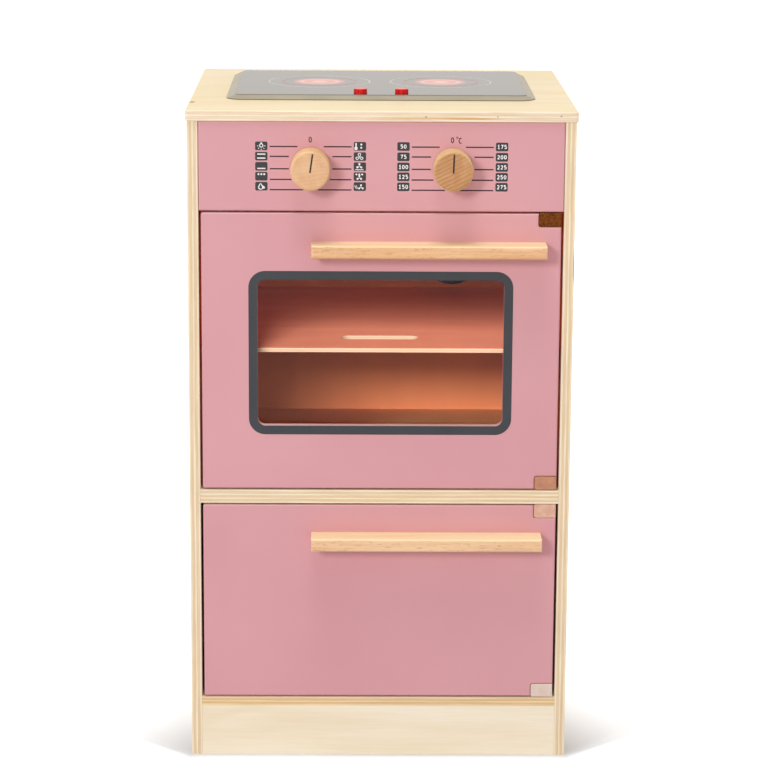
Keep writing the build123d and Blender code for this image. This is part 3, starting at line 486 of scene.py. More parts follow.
def hob_sheet():
    """The hob's glossy black sheet, with a painted glow inside each ring: the sheet itself emits, in
    place of red light from the LEDs below.
    """
    finish = Finish("hob_sheet", IOR=1.47)
    scuffs = finish.noise(finish.stretched((1.0, 0.2, 1.0)), 300.0)
    black = finish.drift(scuffs, srgb(44, 38, 32), srgb(50, 44, 38), 0.3, 0.7)
    cut_edge = finish.overlay(
        black, srgb(142, 138, 126), finish.facing("z"), (0.3, 1.0), (0.7, 0.0)
    )
    finish.colour(cut_edge)
    finish.roughness(scuffs, 0.05, 0.10)
    # A painted glow: emission on the sheet, brightest at each ring's middle.
    aside = finish.maths("ABSOLUTE", finish.axis(finish.place, "x"))
    across = finish.maths("SUBTRACT", aside, ring_x)
    back = finish.maths("SUBTRACT", finish.axis(finish.place, "y"), ring_y)
    squares = [finish.maths("POWER", value, 2.0) for value in (across, back)]
    reach = finish.maths("SQRT", finish.maths("ADD", *squares))
    painted_glow = finish.ramp(
        finish.maths("DIVIDE", reach, painted_glow_radius),
        [
            (0.00, (1.0, 0.62, 0.34, 1.0)),
            (0.22, (1.0, 0.50, 0.30, 1.0)),
            (0.36, (1.0, 0.14, 0.08, 1.0)),
            (0.58, (0.92, 0.10, 0.07, 1.0)),
            (0.66, (1.0, 0.42, 0.32, 1.0)),
            (0.72, (1.0, 0.42, 0.32, 1.0)),
            (0.80, (0.88, 0.08, 0.06, 1.0)),
            (0.92, (0.62, 0.04, 0.03, 1.0)),
            (1.00, (0.0, 0.0, 0.0, 1.0)),
        ],
    )
    finish.feed(finish.shader.inputs["Emission Color"], painted_glow)
    finish.feed(finish.shader.inputs["Emission Strength"], painted_glow_strength)
    return finish


def silver_cover():
    """Silver-grey plastic, with a painted contact shadow along the lip that meets the worktop."""
    finish = Finish("silver_plastic", Metallic=0.55)
    tone = finish.drift(finish.noise(finish.place, 40.0), srgb(170, 163, 142), srgb(178, 171, 150))
    # Painted contact shadow: darker towards where the cover meets the worktop.
    height = finish.maths("SUBTRACT", finish.axis(finish.place, "z"), worktop_top)
    contact_shadow = finish.maths("DIVIDE", height, contact_shadow_height)
    finish.colour(finish.overlay(tone, srgb(74, 70, 52), contact_shadow, (0.6, 0.9), (1.0, 0.0)))
    texture = finish.noise(finish.place, plastic_grain, detail=2.0)
    finish.roughness(texture, 0.30, 0.42)
    finish.bump(texture, fine_bump, 0.4)
    return finish


def ribbed_red():
    """Glossy red plastic, with fine upright ribs round its sides and painted shade in their grooves.
    """
    finish = Finish("red_plastic", Specular_IOR_Level=0.25)
    drift = finish.noise(finish.place, 40.0)
    tone = finish.drift(drift, srgb(232, 6, 12), srgb(244, 12, 18))
    ribs = finish.node(
        "ShaderNodeTexWave", {"Vector": finish.place, "Scale": rib_scale}, bands_direction="X"
    ).outputs["Fac"]
    # Painted shade in the ribs' grooves, on the sides only.
    groove_shade = finish.maths(
        "MULTIPLY",
        finish.ramp(ribs, [(0.1, 0.45), (0.6, 0.0)]),
        finish.ramp(finish.facing("z"), [(0.3, 1.0), (0.7, 0.0)]),
    )
    finish.colour(finish.blend(groove_shade, tone, srgb(122, 0, 4)))
    finish.roughness(drift, 0.10, 0.18)
    finish.bump(ribs, 0.2 * MM, 0.4)
    return finish


def clear_sheet():
    """Clear acrylic: looked straight through, with a mirror's share by Fresnel.

    Only faces that look towards the ray mirror it, or the pane would be dark at low angles.
    """
    finish = Finish("clear_acrylic")
    smear = finish.noise(finish.place, 12.0)
    film = finish.drift(smear, srgb(247, 247, 246), srgb(252, 252, 251), 0.3, 0.7)
    through = finish.node("ShaderNodeBsdfTransparent", {"Color": film})
    mirror = finish.node("ShaderNodeBsdfGlossy", {"Roughness": 0.03})
    fresnel = finish.node("ShaderNodeFresnel", {"IOR": pane_ior})
    behind = finish.node("ShaderNodeNewGeometry").outputs["Backfacing"]
    share = finish.maths("MULTIPLY", fresnel.outputs[0], finish.maths("SUBTRACT", 1.0, behind))
    mixed = finish.node(
        "ShaderNodeMixShader", {0: share, 1: through.outputs[0], 2: mirror.outputs[0]}
    )
    finish.feed(finish.tree.nodes["Material Output"].inputs["Surface"], mixed.outputs[0])
    finish.tree.nodes.remove(finish.shader)
    return finish


def clear_block(name, colour, deep, clearness, gloss=0.4, shine=0.5, flow_scale=160.0):
    """A moulded translucent block, clearer or milkier, with flow marks."""
    finish = Finish(
        name,
        Transmission_Weight=clearness,
        IOR=1.49,
        Specular_IOR_Level=shine,
        Coat_Weight=gloss,
        Coat_Roughness=0.1,
    )
    flow = finish.noise(finish.place, flow_scale, distortion=0.8)
    finish.colour(finish.drift(flow, deep, colour))
    finish.roughness(flow, 0.16, 0.30)
    finish.bump(flow, 0.1 * MM, 0.3)
    return finish


def steel(name, colour, deep, low, high):
    """Plated steel, with fine turning marks."""
    finish = Finish(name, Metallic=1.0)
    marks = finish.noise(finish.stretched((1.0, 1.0, 0.2)), 1200.0)
    finish.colour(finish.drift(marks, deep, colour))
    finish.roughness(marks, low, high)
    finish.bump(marks, 0.02 * MM, 0.4)
    return finish


def circuit():
    """A green circuit board with paler copper tracks under the mask."""
    finish = Finish("circuit_mask", Coat_Weight=0.5, Coat_Roughness=0.15)
    tracks = finish.node(
        "ShaderNodeTexBrick",
        {
            "Vector": finish.place,
            "Color1": srgb(24, 104, 62),
            "Color2": srgb(20, 92, 56),
            "Mortar": srgb(58, 138, 84),
            "Scale": 60.0,
            "Mortar Size": 0.04,
        },
    )
    finish.colour(tracks.outputs["Color"])
    finish.roughness(finish.noise(finish.place, 500.0), 0.3, 0.42)
    return finish


def cells():
    """Batteries in a plain blue sleeve with a silver end."""
    finish = Finish("battery_sleeve", Metallic=0.3)
    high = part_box("batteries")[1]
    wear = finish.noise(finish.place, 300.0)
    sleeve = finish.drift(wear, srgb(52, 74, 120), srgb(66, 90, 140))
    end = finish.maths("GREATER_THAN", finish.axis(finish.place, "y"), high.y - battery_end)
    finish.colour(finish.blend(end, sleeve, srgb(196, 196, 198)))
    finish.roughness(wear, 0.28, 0.4)
    return finish


dress(lacquer(), "control_panel", "oven_door", "lower_door")
border_film = moulded(
    "border_film", srgb(56, 58, 62), srgb(52, 54, 58), 0.45, 0.58, Specular_IOR_Level=0.35
)
dress(border_film, "window_border")
dress(clear_sheet(), "window_pane")
dress(hob_sheet(), "hob_plate")
dress(silver_cover(), "hob_cover")
dress(ribbed_red(), "left_button", "right_button")
# The four hinge blocks are one clear plastic. Their tones, from dark brown on the oven's top hinge
# to pale on the cupboard's bottom hinge, are painted shade and light.
shaded_block_darkest = clear_block(
    "shaded_block_darkest", srgb(138, 76, 10), srgb(84, 34, 2), 0.0, gloss=0.0, shine=0.1, flow_scale=700.0
)
dress(shaded_block_darkest, "oven_hinge_top")
shaded_block_dark = clear_block("shaded_block_dark", srgb(208, 142, 96), srgb(188, 122, 88), 0.1, gloss=0.2)
dress(shaded_block_dark, "oven_hinge_bottom")
shaded_block_light = clear_block("shaded_block_light", srgb(244, 194, 166), srgb(232, 176, 148), 0.2)
dress(shaded_block_light, "lower_hinge_top")
shaded_block_palest = clear_block("shaded_block_palest", srgb(252, 232, 216), srgb(246, 222, 204), 0.2)
dress(shaded_block_palest, "lower_hinge_bottom")

zinc = steel("zinc_plate", srgb(205, 205, 208), srgb(184, 184, 190), 0.28, 0.4)
for word in ("screws", "strike", "clip", "shaft"):
    dress(zinc, *(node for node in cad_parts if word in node))
nickel = steel("nickel_plate", srgb(196, 198, 202), srgb(180, 182, 188), 0.12, 0.22)
dress(nickel, "oven_magnet", "lower_magnet")

ivory = moulded("ivory_plastic", srgb(236, 230, 214), srgb(228, 221, 204))
dress(ivory, "oven_catch", "lower_catch")
fibre = moulded("washer_fibre", srgb(196, 172, 138), srgb(178, 152, 116), 0.6, 0.8)
dress(fibre, "knob_washers")
black = moulded("black_plastic", srgb(44, 43, 42), srgb(34, 33, 33), 0.42, 0.6, 2 * fine_bump)
dress(black, "module_tray", "battery_box", "battery_cover", "vent_cap")
dress(black, "button_switches", "speaker")
white = moulded("white_plastic", srgb(240, 240, 236), srgb(230, 230, 226))
dress(white, "light_cups", "diffusers")
dress(moulded("led_lens", srgb(255, 120, 110), srgb(236, 90, 84), 0.08, 0.16), "leds")
dress(circuit(), "circuit_board")
dress(cells(), "batteries")

# ---- Printed marks: outlines ----


def disc_outline(x, y, radius, steps=28):
    """A circle's points, anticlockwise."""
    return [
        (
            x + radius * math.cos(2 * math.pi * step / steps),
            y + radius * math.sin(2 * math.pi * step / steps),
        )
        for step in range(steps)
    ]


def bar_outline(x, y, width, height):
    """A rectangle about a point, anticlockwise."""
    return [
        (x - width / 2, y - height / 2),
        (x + width / 2, y - height / 2),
        (x + width / 2, y + height / 2),
        (x - width / 2, y + height / 2),
    ]


def rounded_outline(x, y, width, height, radius, steps=6):
    """A rectangle with round corners, anticlockwise."""
    corners = [
        (x + width / 2 - radius, y + height / 2 - radius, 0.0),
        (x - width / 2 + radius, y + height / 2 - radius, 0.5),
        (x - width / 2 + radius, y - height / 2 + radius, 1.0),
        (x + width / 2 - radius, y - height / 2 + radius, 1.5),
    ]
    return [
        (
            corner_x + radius * math.cos(math.pi * (start + 0.5 * step / steps)),
            corner_y + radius * math.sin(math.pi * (start + 0.5 * step / steps)),
        )
        for corner_x, corner_y, start in corners
        for step in range(steps + 1)
    ]


def turned(outline, angle, x=0.0, y=0.0):
    """An outline turned about the origin, then moved."""
    cosine, sine = math.cos(angle), math.sin(angle)
    return [(x + u * cosine - v * sine, y + u * sine + v * cosine) for u, v in outline]


def drop_outline(length, width, steps=20):
    """A drop with its point at the origin and its round end at +y."""
    outline = []
    for step in range(steps):
        angle = 2 * math.pi * step / steps
        swell = math.sin(angle / 2) ** 1.5
        outline.append((width / 2 * math.sin(angle) * swell, length * (1 - math.cos(angle)) / 2))
    return outline


# ---- Printed marks: pieces ----

ink_thickness = 0.05 * MM
layer = 0.004 * MM  # How far one stroke of a mark stands above the one before.
mitre_limit = 0.5  # Keeps a ribbon's sharp corners from growing long points.
ring_steps = 96
curve_steps = 6


def front_place(x, z, lift):
    """A point of the dial panel's print, lifted off its face."""
    return Vector((x, front_y - lift, z))


def hob_place(x, y, lift):
    """A point of the hob's print, lifted off its sheet."""
    return Vector((x, y, hob_top + lift))


def add_prism(mesh, outline, low, high, place=front_place):
    """A thin solid over an outline, from one lift to another."""
    bottom = [mesh.verts.new(place(u, v, low)) for u, v in outline]
    top = [mesh.verts.new(place(u, v, high)) for u, v in outline]
    mesh.faces.new(top)
    mesh.faces.new(bottom[::-1])
    for index in range(len(outline)):
        after = (index + 1) % len(outline)
        mesh.faces.new((bottom[index], bottom[after], top[after], top[index]))


def add_ring(mesh, x, y, inner, outer, low, high, steps=ring_steps, place=front_place):
    """A thin flat ring."""
    loops = []
    for radius, lift in ((inner, low), (outer, low), (outer, high), (inner, high)):
        outline = disc_outline(x, y, radius, steps)
        loops.append([mesh.verts.new(place(u, v, lift)) for u, v in outline])
    for first, second in zip(loops, loops[1:] + loops[:1]):
        for index in range(steps):
            after = (index + 1) % steps
            mesh.faces.new((first[index], first[after], second[after], second[index]))


def finish_piece(name, mesh, finish, body):
    """Turns a built mesh into a piece that rides on a body."""
    bmesh.ops.recalc_face_normals(mesh, faces=mesh.faces)
    data = bpy.data.meshes.new(name)
    mesh.to_mesh(data)
    mesh.free()
    data.materials.append(finish.material)
    piece = bpy.data.objects.new(name, data)
    bpy.context.scene.collection.objects.link(piece)
    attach(piece, body)


def add_ribbon(mesh, points, thickness, low, high):
    """A thin solid of even thickness along a line of points on the dial panel."""
    sections = []
    for index, (x, y) in enumerate(points):
        before = points[max(index - 1, 0)]
        after = points[min(index + 1, len(points) - 1)]
        ahead = Vector((after[0] - x, after[1] - y))
        behind = Vector((x - before[0], y - before[1]))
        ahead = ahead.normalized() if ahead.length else behind.normalized()
        behind = behind.normalized() if behind.length else ahead
        middle = (ahead + behind).normalized()
        reach = thickness / 2 / max(mitre_limit, middle.dot(ahead))
        side = Vector((-middle.y, middle.x)) * reach
        sections.append(
            [
                mesh.verts.new(front_place(x + hand * side.x, y + hand * side.y, lift))
                for hand, lift in ((1, low), (-1, low), (-1, high), (1, high))
            ]
        )
    for first, second in zip(sections, sections[1:]):
        for corner in range(4):
            other = (corner + 1) % 4
            mesh.faces.new((first[corner], first[other], second[other], second[corner]))
    mesh.faces.new(sections[0])
    mesh.faces.new(sections[-1][::-1])


def smoothed(points):
    """Points on a smooth curve (Catmull-Rom) through the given points."""
    padded = [points[0], *points, points[-1]]
    curve = []
    for before, start, end, after in zip(padded, padded[1:], padded[2:], padded[3:]):
        for step in range(curve_steps):
            t = step / curve_steps
            curve.append(
                tuple(
                    0.5
                    * (
                        2 * b
                        + (c - a) * t
                        + (2 * a - 5 * b + 4 * c - d) * t**2
                        + (3 * b - a - 3 * c + d) * t**3
                    )
                    for a, b, c, d in zip(before, start, end, after)
                )
            )
    return curve + [points[-1]]


# Characters as strokes in a box from (0, 0) to (1, 1).
CHARACTERS = {
    "0": [
        smoothed(
            [(0.5, 1.0), (0.12, 0.84), (0.0, 0.5), (0.12, 0.16), (0.5, 0.0)]
            + [(0.88, 0.16), (1.0, 0.5), (0.88, 0.84), (0.5, 1.0)]
        )
    ],
    "1": [[(0.12, 0.80), (0.55, 0.97), (0.55, 0.0)], [(0.1, 0.0), (1.0, 0.0)]],
    "2": [
        smoothed([(0.06, 0.86), (0.42, 1.0), (0.88, 0.86), (0.84, 0.54), (0.1, 0.04)]),
        [(0.0, 0.0), (1.0, 0.0)],
    ],
    "5": [
        [(0.94, 1.0), (0.14, 1.0), (0.14, 0.56)],
        smoothed(
            [(0.06, 0.56), (0.50, 0.62), (0.98, 0.44)] + [(0.92, 0.14), (0.48, 0.0), (0.04, 0.08)]
        ),
    ],
    "7": [[(0.0, 1.0), (0.98, 1.0), (0.34, 0.0)]],
    "C": [
        smoothed(
            [(1.0, 0.90), (0.62, 1.0), (0.16, 0.84), (0.0, 0.5)]
            + [(0.16, 0.16), (0.62, 0.0), (1.0, 0.10)]
        )
    ],
}


def add_character(mesh, character, x, z, width, height, thickness, low, high):
    """One character, centred on a point. Each stroke lies a hair above the one before."""
    for order, stroke in enumerate(CHARACTERS[character]):
        points = [
            (x + (u - 0.5) * (width - thickness), z + (v - 0.5) * (height - thickness))
            for u, v in stroke
        ]
        add_ribbon(mesh, points, thickness, low, high + order * layer)


def ink(name, colour, deep):
    """Screen-printed ink, with a slightly uneven cover."""
    finish = Finish(name, Specular_IOR_Level=0.25)
    cover = finish.noise(finish.place, 700.0)
    finish.colour(finish.drift(cover, deep, colour))
    finish.roughness(cover, 0.4, 0.55)
    return finish


dark_ink = ink("dark_ink", srgb(62, 60, 62), srgb(56, 54, 56))
line_ink = ink("line_ink", srgb(66, 42, 48), srgb(58, 36, 42))
white_ink = ink("white_ink", srgb(246, 246, 244), srgb(238, 238, 236))
rose_ink = ink("rose_ink", srgb(226, 160, 162), srgb(214, 148, 150))

# ---- Printed marks: the dials ----

# Rows are heights above a knob's middle, and reaches are distances to either side of it.
label_width = 9.4 * MM
label_height = 6.6 * MM
label_radius = 1.1 * MM
label_reach = 37.6 * MM
label_rows = [rise * MM for rise in (16.0, 8.1, 0.3, -7.3, -15.0)]
line_rows = [rise * MM for rise in (15.6, 8.0, -1.5, -9.7, -17.6)]
line_height = 1.0 * MM
line_outer = 31.2 * MM
line_inner = [reach * MM for reach in (10.0, 16.6, 16.6, 14.6, 5.6)]
dot_steps = 18
dot_pitch = 2.2 * MM
sign_bar_width = 6.2 * MM


def add_fan(mesh, x, z, size, low, high, hollow=False):
    """Three round-ended blades about a hub, filled or drawn in outline."""
    for blade in range(3):
        leaf = turned(drop_outline(size, size * 0.9), blade * math.tau / 3, x, z)
        if hollow:
            add_ribbon(mesh, leaf[2:-1], 0.55 * MM, low, high + blade * layer)
        else:
            add_prism(mesh, leaf, low, high + blade * layer)


def add_dots(mesh, shifts, x, z, radius, low, high):
    for shift_x, shift_z in shifts:
        dot = disc_outline(x + shift_x, z + shift_z, radius, dot_steps)
        add_prism(mesh, dot, low, high)


def dot_row(rise, shift=0.0):
    """Places of three dots side by side."""
    return [(place * dot_pitch + shift, rise) for place in (-1, 0, 1)]


def lamp_sign(mesh, x, z, low, high):
    add_ring(mesh, x, z + 0.3 * MM, 0.95 * MM, 1.6 * MM, low, high, 28)
    add_prism(mesh, bar_outline(x, z + 2.3 * MM, 1.1 * MM, 0.9 * MM), low, high)
    for angle in (-180, -137, -90, -43, 0):
        ray = turned(bar_outline(2.7 * MM, 0, 0.8 * MM, 0.6 * MM), math.radians(angle), x, z)
        add_prism(mesh, ray, low, high)


def two_bars_sign(mesh, x, z, low, high):
    for rise in (1.6 * MM, -1.5 * MM):
        bar = bar_outline(x, z + rise, sign_bar_width, 0.95 * MM)
        add_prism(mesh, bar, low, high)


def low_bar_sign(mesh, x, z, low, high):
    bar = bar_outline(x, z - 1.6 * MM, sign_bar_width, 0.9 * MM)
    add_prism(mesh, bar, low, high)


def three_dots_sign(mesh, x, z, low, high):
    add_dots(mesh, dot_row(1.6 * MM), x, z, 0.75 * MM, low, high)


def flame_sign(mesh, x, z, low, high):
    outline = turned(drop_outline(4.7 * MM, 4.4 * MM), math.pi, x - 0.6 * MM, z + 2.4 * MM)
    add_ribbon(mesh, outline[1:], 0.75 * MM, low, high)
    leaf = turned(drop_outline(3.2 * MM, 2.8 * MM), math.radians(215), x + 0.4 * MM, z + 0.9 * MM)
    add_prism(mesh, leaf, low, high + layer)


def thermometer_sign(mesh, x, z, low, high):
    stem = rounded_outline(x - 3.0 * MM, z + 0.7 * MM, 1.1 * MM, 3.6 * MM, 0.5 * MM)
    add_prism(mesh, stem, low, high)
    add_dots(mesh, [(-3.0 * MM, -1.6 * MM)], x, z, 1.3 * MM, low, high + layer)
    add_dots(mesh, [(1.0 * MM, 1.4 * MM), (1.0 * MM, -1.1 * MM)], x, z, 0.75 * MM, low, high)


def fan_sign(mesh, x, z, low, high):
    add_fan(mesh, x - 0.4 * MM, z - 0.3 * MM, 2.9 * MM, low, high, hollow=True)


def fan_over_wave_sign(mesh, x, z, low, high):
    add_fan(mesh, x - 0.4 * MM, z + 0.4 * MM, 2.5 * MM, low, high)
    crests = [
        (x + (step - 0.4) * 1.05 * MM, z + (-2.1 - 0.35 * (step % 2)) * MM) for step in range(-3, 4)
    ]
    add_ribbon(mesh, smoothed(crests), 0.6 * MM, low, high)


def fan_under_dots_sign(mesh, x, z, low, high):
    add_fan(mesh, x - 0.4 * MM, z - 0.9 * MM, 2.3 * MM, low, high)
    add_dots(mesh, dot_row(1.7 * MM, -0.4 * MM), x, z, 0.7 * MM, low, high + 3 * layer)


def fan_with_flow_sign(mesh, x, z, low, high):
    add_fan(mesh, x + 0.9 * MM, z - 0.5 * MM, 2.3 * MM, low, high)
    bend = ((-0.6, 0.9), (0.0, -0.4), (0.8, -1.7))
    for shift in (-3.4 * MM, -2.2 * MM):
        flow = [(x + shift + side * MM, z + rise * MM) for side, rise in bend]
        add_ribbon(mesh, smoothed(flow), 0.45 * MM, low, high)


left_signs = {
    -1: [lamp_sign, two_bars_sign, low_bar_sign, three_dots_sign, flame_sign],
    1: [thermometer_sign, fan_sign, fan_over_wave_sign, fan_under_dots_sign, fan_with_flow_sign],
}
right_numbers = {-1: ["50", "75", "100", "125", "150"], 1: ["175", "200", "225", "250", "275"]}
digit_height = 3.3 * MM
digit_width = 2.15 * MM
digit_pitch = 2.6 * MM
digit_weight = 0.66 * MM
digit_size = (digit_width, digit_height, digit_weight)
heading_height = 4.6 * MM
heading_width = 2.5 * MM
heading_weight = 0.72 * MM
heading_size = (heading_width, heading_height, heading_weight)
heading_rise = 21.0 * MM
zero_shift = 0.3 * MM
degree_reach = 3.3 * MM
degree_rise = 1.9 * MM
degree_radii = (0.35 * MM, 0.80 * MM)
degree_steps = 20
celsius_reach = 5.6 * MM
celsius_drop = 0.4 * MM
first_ink = (0.0, ink_thickness)  # Lifts of the print on the board, and of the print on labels.
second_ink = (ink_thickness, 2 * ink_thickness)

for side in ("left", "right"):
    centre_x, centre_z = dial_x[side], dial_z[side]
    labels, lines, signs = bmesh.new(), bmesh.new(), bmesh.new()
    for hand in (-1, 1):
        for row, rise in enumerate(label_rows):
            x, z = centre_x + hand * label_reach, centre_z + rise
            plate = rounded_outline(x, z, label_width, label_height, label_radius)
            add_prism(labels, plate, *first_ink)
            if side == "left":
                left_signs[hand][row](signs, x, z, *second_ink)
            else:
                number = right_numbers[hand][row]
                for place, character in enumerate(number):
                    digit_x = x + (place - (len(number) - 1) / 2) * digit_pitch
                    add_character(signs, character, digit_x, z, *digit_size, *second_ink)
        for rise, inner in zip(line_rows, line_inner):
            x = centre_x + hand * (inner + line_outer) / 2
            rule = bar_outline(x, centre_z + rise, line_outer - inner, line_height)
            add_prism(lines, rule, *first_ink)
    heading_z = centre_z + heading_rise
    add_character(lines, "0", centre_x - zero_shift, heading_z, *heading_size, *first_ink)
    if side == "right":
        celsius_x, celsius_z = centre_x + celsius_reach, heading_z - celsius_drop
        add_character(lines, "C", celsius_x, celsius_z, *heading_size, *first_ink)
        degree_x, degree_z = centre_x + degree_reach, heading_z + degree_rise
        add_ring(lines, degree_x, degree_z, *degree_radii, *first_ink, degree_steps)
    finish_piece(side + "_dial_labels", labels, dark_ink, "cabinet")
    finish_piece(side + "_dial_lines", lines, line_ink, "cabinet")
    finish_piece(side + "_dial_signs", signs, white_ink, "cabinet")

# ---- Printed marks: the hob's rings ----

white_ring_radius = 41.0 * MM
rose_ring_radius = 30.0 * MM
ring_line = 0.7 * MM

for name, radius, finish in (
    ("hob_white_rings", white_ring_radius, white_ink),
    ("hob_rose_rings", rose_ring_radius, rose_ink),
):
    rings = bmesh.new()
    for x in (-ring_x, ring_x):
        inner, outer = radius - ring_line / 2, radius + ring_line / 2
        add_ring(rings, x, ring_y, inner, outer, *first_ink, place=hob_place)
    finish_piece(name, rings, finish, "cabinet")

# ---- A dark sheet behind the vent's slots, painted shade that keeps lamp light out ----

vent_low, vent_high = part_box("vent_cap")
vent_plate = 1.2 * MM
vent_sheet_radius = 22.8 * MM
vent_sheet_thickness = 0.4 * MM


def back_place(u, v, lift):
    """A place on the back of the vent's slotted plate."""
    return (u, vent_low.y + vent_plate + lift, v)


def vent_shade_sheet():
    """A black sheet behind the vent's slots, painted shade that keeps the lamps' light off the
    shelf: matt, with a fine weave.
    """
    finish = Finish("vent_shade_sheet", Roughness=0.9, Specular_IOR_Level=0.1)
    weave = finish.noise(finish.place, 1600.0, detail=2.0)
    finish.colour(finish.drift(weave, srgb(30, 28, 27), srgb(46, 43, 41)))
    finish.bump(weave, 0.1 * MM, 0.6)
    return finish


shade_sheet = bmesh.new()
vent_outline = disc_outline(
    (vent_low.x + vent_high.x) / 2, (vent_low.z + vent_high.z) / 2, vent_sheet_radius
)
add_prism(shade_sheet, vent_outline, 0.0, vent_sheet_thickness, back_place)
finish_piece("vent_filter", shade_sheet, vent_shade_sheet(), "cabinet")

# ---- Floor ----

floor_half = 30.0
paper_low = (0.54, 0.5562, 0.5724, 1.0)
paper_high = (0.55, 0.5665, 0.583, 1.0)
bounce_low, bounce_high = 0.58, 0.59

# How far the floor is lifted towards white where it is looked at: least in the object's shadow.
floor_lift_near = 0.08
floor_lift_far = 0.85
floor_near = 0.40
floor_far = 1.00
shadow_front = -0.12
shadow_back = 0.07
floor_lift_beside = 0.20
shadow_width = 0.045
floor_lift_front = 0.32
shadow_slope = 0.85
front_edge = (1.0 * MM, 8.0 * MM)


def shadow_lift(finish):
    """How much the floor glows: most far away and behind, and a little beside and before."""
    depth = finish.axis(finish.place, "y")
    reach = finish.vector_maths("LENGTH", finish.place)
    far = finish.spread(reach, floor_near, floor_far)
    clear = finish.maths("MAXIMUM", far, finish.spread(depth, shadow_front, shadow_back))
    lift = finish.maths("MULTIPLY_ADD", clear, floor_lift_far - floor_lift_near, floor_lift_near)
    aside = finish.maths("ABSOLUTE", finish.axis(finish.place, "x"))
    aside = finish.maths("MAXIMUM", finish.maths("SUBTRACT", aside, cad_high.x), 0.0)
    beside = finish.spread(aside, end=shadow_width, high=floor_lift_beside)
    line = finish.maths("MULTIPLY_ADD", aside, -shadow_slope, depth)
    start, end = (front_y - reach for reach in front_edge)
    before = finish.spread(line, start, end, high=floor_lift_front)
    return finish.maths("ADD", finish.maths("ADD", lift, beside), before)


def make_floor():
    """A plain pale floor that keeps the shadow, lifted to white away from the object."""
    mesh = bmesh.new()
    corners = [(-floor_half, -floor_half), (floor_half, -floor_half), (floor_half, floor_half)]
    corners.append((-floor_half, floor_half))
    mesh.faces.new([mesh.verts.new((x, y, 0.0)) for x, y in corners])
    data = bpy.data.meshes.new("floor")
    mesh.to_mesh(data)
    mesh.free()
    finish = Finish("floor_paper", Roughness=0.9, Specular_IOR_Level=0.0)
    seen = finish.looked_at()
    paper = finish.noise(finish.place, 3.0)
    shown = finish.drift(paper, paper_low, paper_high, 0.4, 0.6)
    bounced = finish.drift(paper, bounce_low, bounce_high, 0.4, 0.6)
    finish.colour(finish.blend(seen, bounced, shown))
    finish.feed(finish.shader.inputs["Emission Color"], WHITE)
    lift = finish.maths("MULTIPLY", seen, shadow_lift(finish))
    finish.feed(finish.shader.inputs["Emission Strength"], lift)
    data.materials.append(finish.material)
    floor = bpy.data.objects.new("floor", data)
    bpy.context.scene.collection.objects.link(floor)


make_floor()

# ---- Light ----

world_strength = 0.41
world_tone = (1.0, 0.82, 0.80, 1.0)
mirrored_tone = (0.97, 0.93, 0.89, 1.0)
object_middle = Vector((0.0, 0.0, 0.30))
cool = (0.96, 1.02, 1.05)
neutral = (1.0, 1.0, 1.0)
blue = (1.0, 1.02, 1.2)
amber = (1.0, 0.9, 0.6)


def make_world():
    """Even, slightly warm light from all round, white where looked at and nearly so in a mirror."""
    world = bpy.data.worlds.new("studio")
    bpy.context.scene.world = world
    world.use_nodes = True
    nodes = Nodes(world.node_tree)
    background = nodes.tree.nodes["Background"]
    seen = nodes.looked_at()
    glossy = nodes.node("ShaderNodeLightPath").outputs["Is Glossy Ray"]
    tone = nodes.blend(seen, world_tone, nodes.blend(glossy, WHITE, mirrored_tone))
    nodes.feed(background.inputs["Color"], tone)
    nodes.feed(background.inputs["Strength"], nodes.spread(seen, low=world_strength))


def make_lamp(name, place, width, height, power, tint):
    """A softbox aimed at the object's middle."""
    data = bpy.data.lights.new(name, "AREA")
    data.shape = "RECTANGLE"
    data.size = width
    data.size_y = height
    data.energy = power
    data.color = tint
    lamp = bpy.data.objects.new(name, data)
    lamp.location = place
    lamp.rotation_mode = "QUATERNION"
    lamp.rotation_quaternion = (object_middle - Vector(place)).to_track_quat("-Z", "Y")
    bpy.context.scene.collection.objects.link(lamp)
    return lamp


def link_light(lamp, names, state):
    """Keeps a lamp's light off some objects, or to them alone."""
    receivers = bpy.data.collections.new(lamp.name + "_receivers")
    lamp.light_linking.receiver_collection = receivers
    for name in names:
        receivers.objects.link(bpy.data.objects[name])
    for member in receivers.collection_objects:
        member.light_linking.link_state = state


make_world()
hob_and_floor = ["floor", "hob_cover", "hob_plate", "left_button", "right_button"]
hob_and_floor += ["hob_white_rings", "hob_rose_rings", "oven_shelf"]
oven_insides = ["oven_shelf", "back_panel", "ceiling_board", "shelf_pegs"]

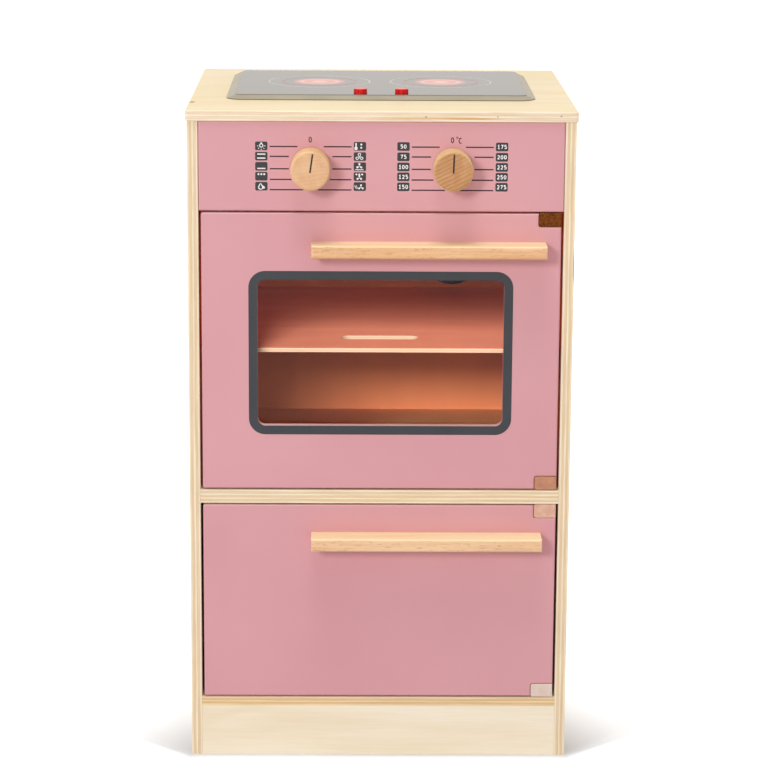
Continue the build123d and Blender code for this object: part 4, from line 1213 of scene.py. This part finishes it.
# Powers are in watts. Each lamp's light is kept off the named objects, or to them alone.
for name, place, width, height, power, tint, names, state in (
    ("key", (-1.6, -3.65, 1.75), 0.8, 0.8, 68.0, cool, ["floor"], "EXCLUDE"),
    ("overhead", (-0.2, -0.9, 3.7), 1.1, 1.1, 48.0, cool, [], "EXCLUDE"),
    ("floor_left", (-2.3, -2.4, 1.9), 1.2, 1.2, 62.0, neutral, ["floor"], "INCLUDE"),
    ("floor_right", (2.1, -2.4, 1.9), 1.2, 1.2, 38.0, neutral, ["floor"], "INCLUDE"),
    ("right_side_light", (3.7, 0.6, 0.85), 1.2, 1.2, 52.0, neutral, hob_and_floor, "EXCLUDE"),
    ("left_side_light", (-3.7, 0.6, 0.85), 1.2, 1.2, 34.0, neutral, hob_and_floor, "EXCLUDE"),
    ("back_light", (0.4, 4.2, 0.85), 1.2, 1.2, 52.0, neutral, hob_and_floor, "EXCLUDE"),
    ("oven_key", (-0.75, -3.85, 1.91), 1.2, 1.2, 285.0, blue, oven_insides, "INCLUDE"),
    ("oven_fill", (0.05, -2.7, 0.95), 1.0, 0.5, 11.0, amber, oven_insides, "INCLUDE"),
):
    lamp = make_lamp(name, place, width, height, power, tint)
    # The low lamps at the sides and the back would glare on the worktop.
    lamp.visible_glossy = names is not hob_and_floor
    if names:
        link_light(lamp, names, state)

# ---- Camera ----

camera_x = -0.02199
camera_distance = 2.12028
camera_height = 0.77807
camera_yaw = math.radians(0.692)
camera_pitch = math.radians(-12.624)
camera_roll = math.radians(0.361)
camera_lens = 130.80
sensor_width = 36.0
view_depth = 100.0


def make_camera():
    """The camera, from its place, its turn about +Z, its tilt and its roll."""
    data = bpy.data.cameras.new("camera")
    data.lens = camera_lens
    data.sensor_width = sensor_width
    data.clip_end = view_depth
    ahead = Vector(
        (
            math.sin(camera_yaw) * math.cos(camera_pitch),
            math.cos(camera_yaw) * math.cos(camera_pitch),
            math.sin(camera_pitch),
        )
    )
    level = Vector((math.cos(camera_yaw), -math.sin(camera_yaw), 0.0))
    upright = level.cross(ahead)
    right = level * math.cos(camera_roll) + upright * math.sin(camera_roll)
    up = upright * math.cos(camera_roll) - level * math.sin(camera_roll)
    camera = bpy.data.objects.new("camera", data)
    turn = Matrix((right, up, -ahead)).transposed()
    place = Vector((camera_x, front_y - camera_distance, camera_height))
    camera.matrix_world = Matrix.Translation(place) @ turn.to_4x4()
    bpy.context.scene.collection.objects.link(camera)
    bpy.context.scene.camera = camera


make_camera()
bpy.context.scene.view_settings.view_transform = "Standard"
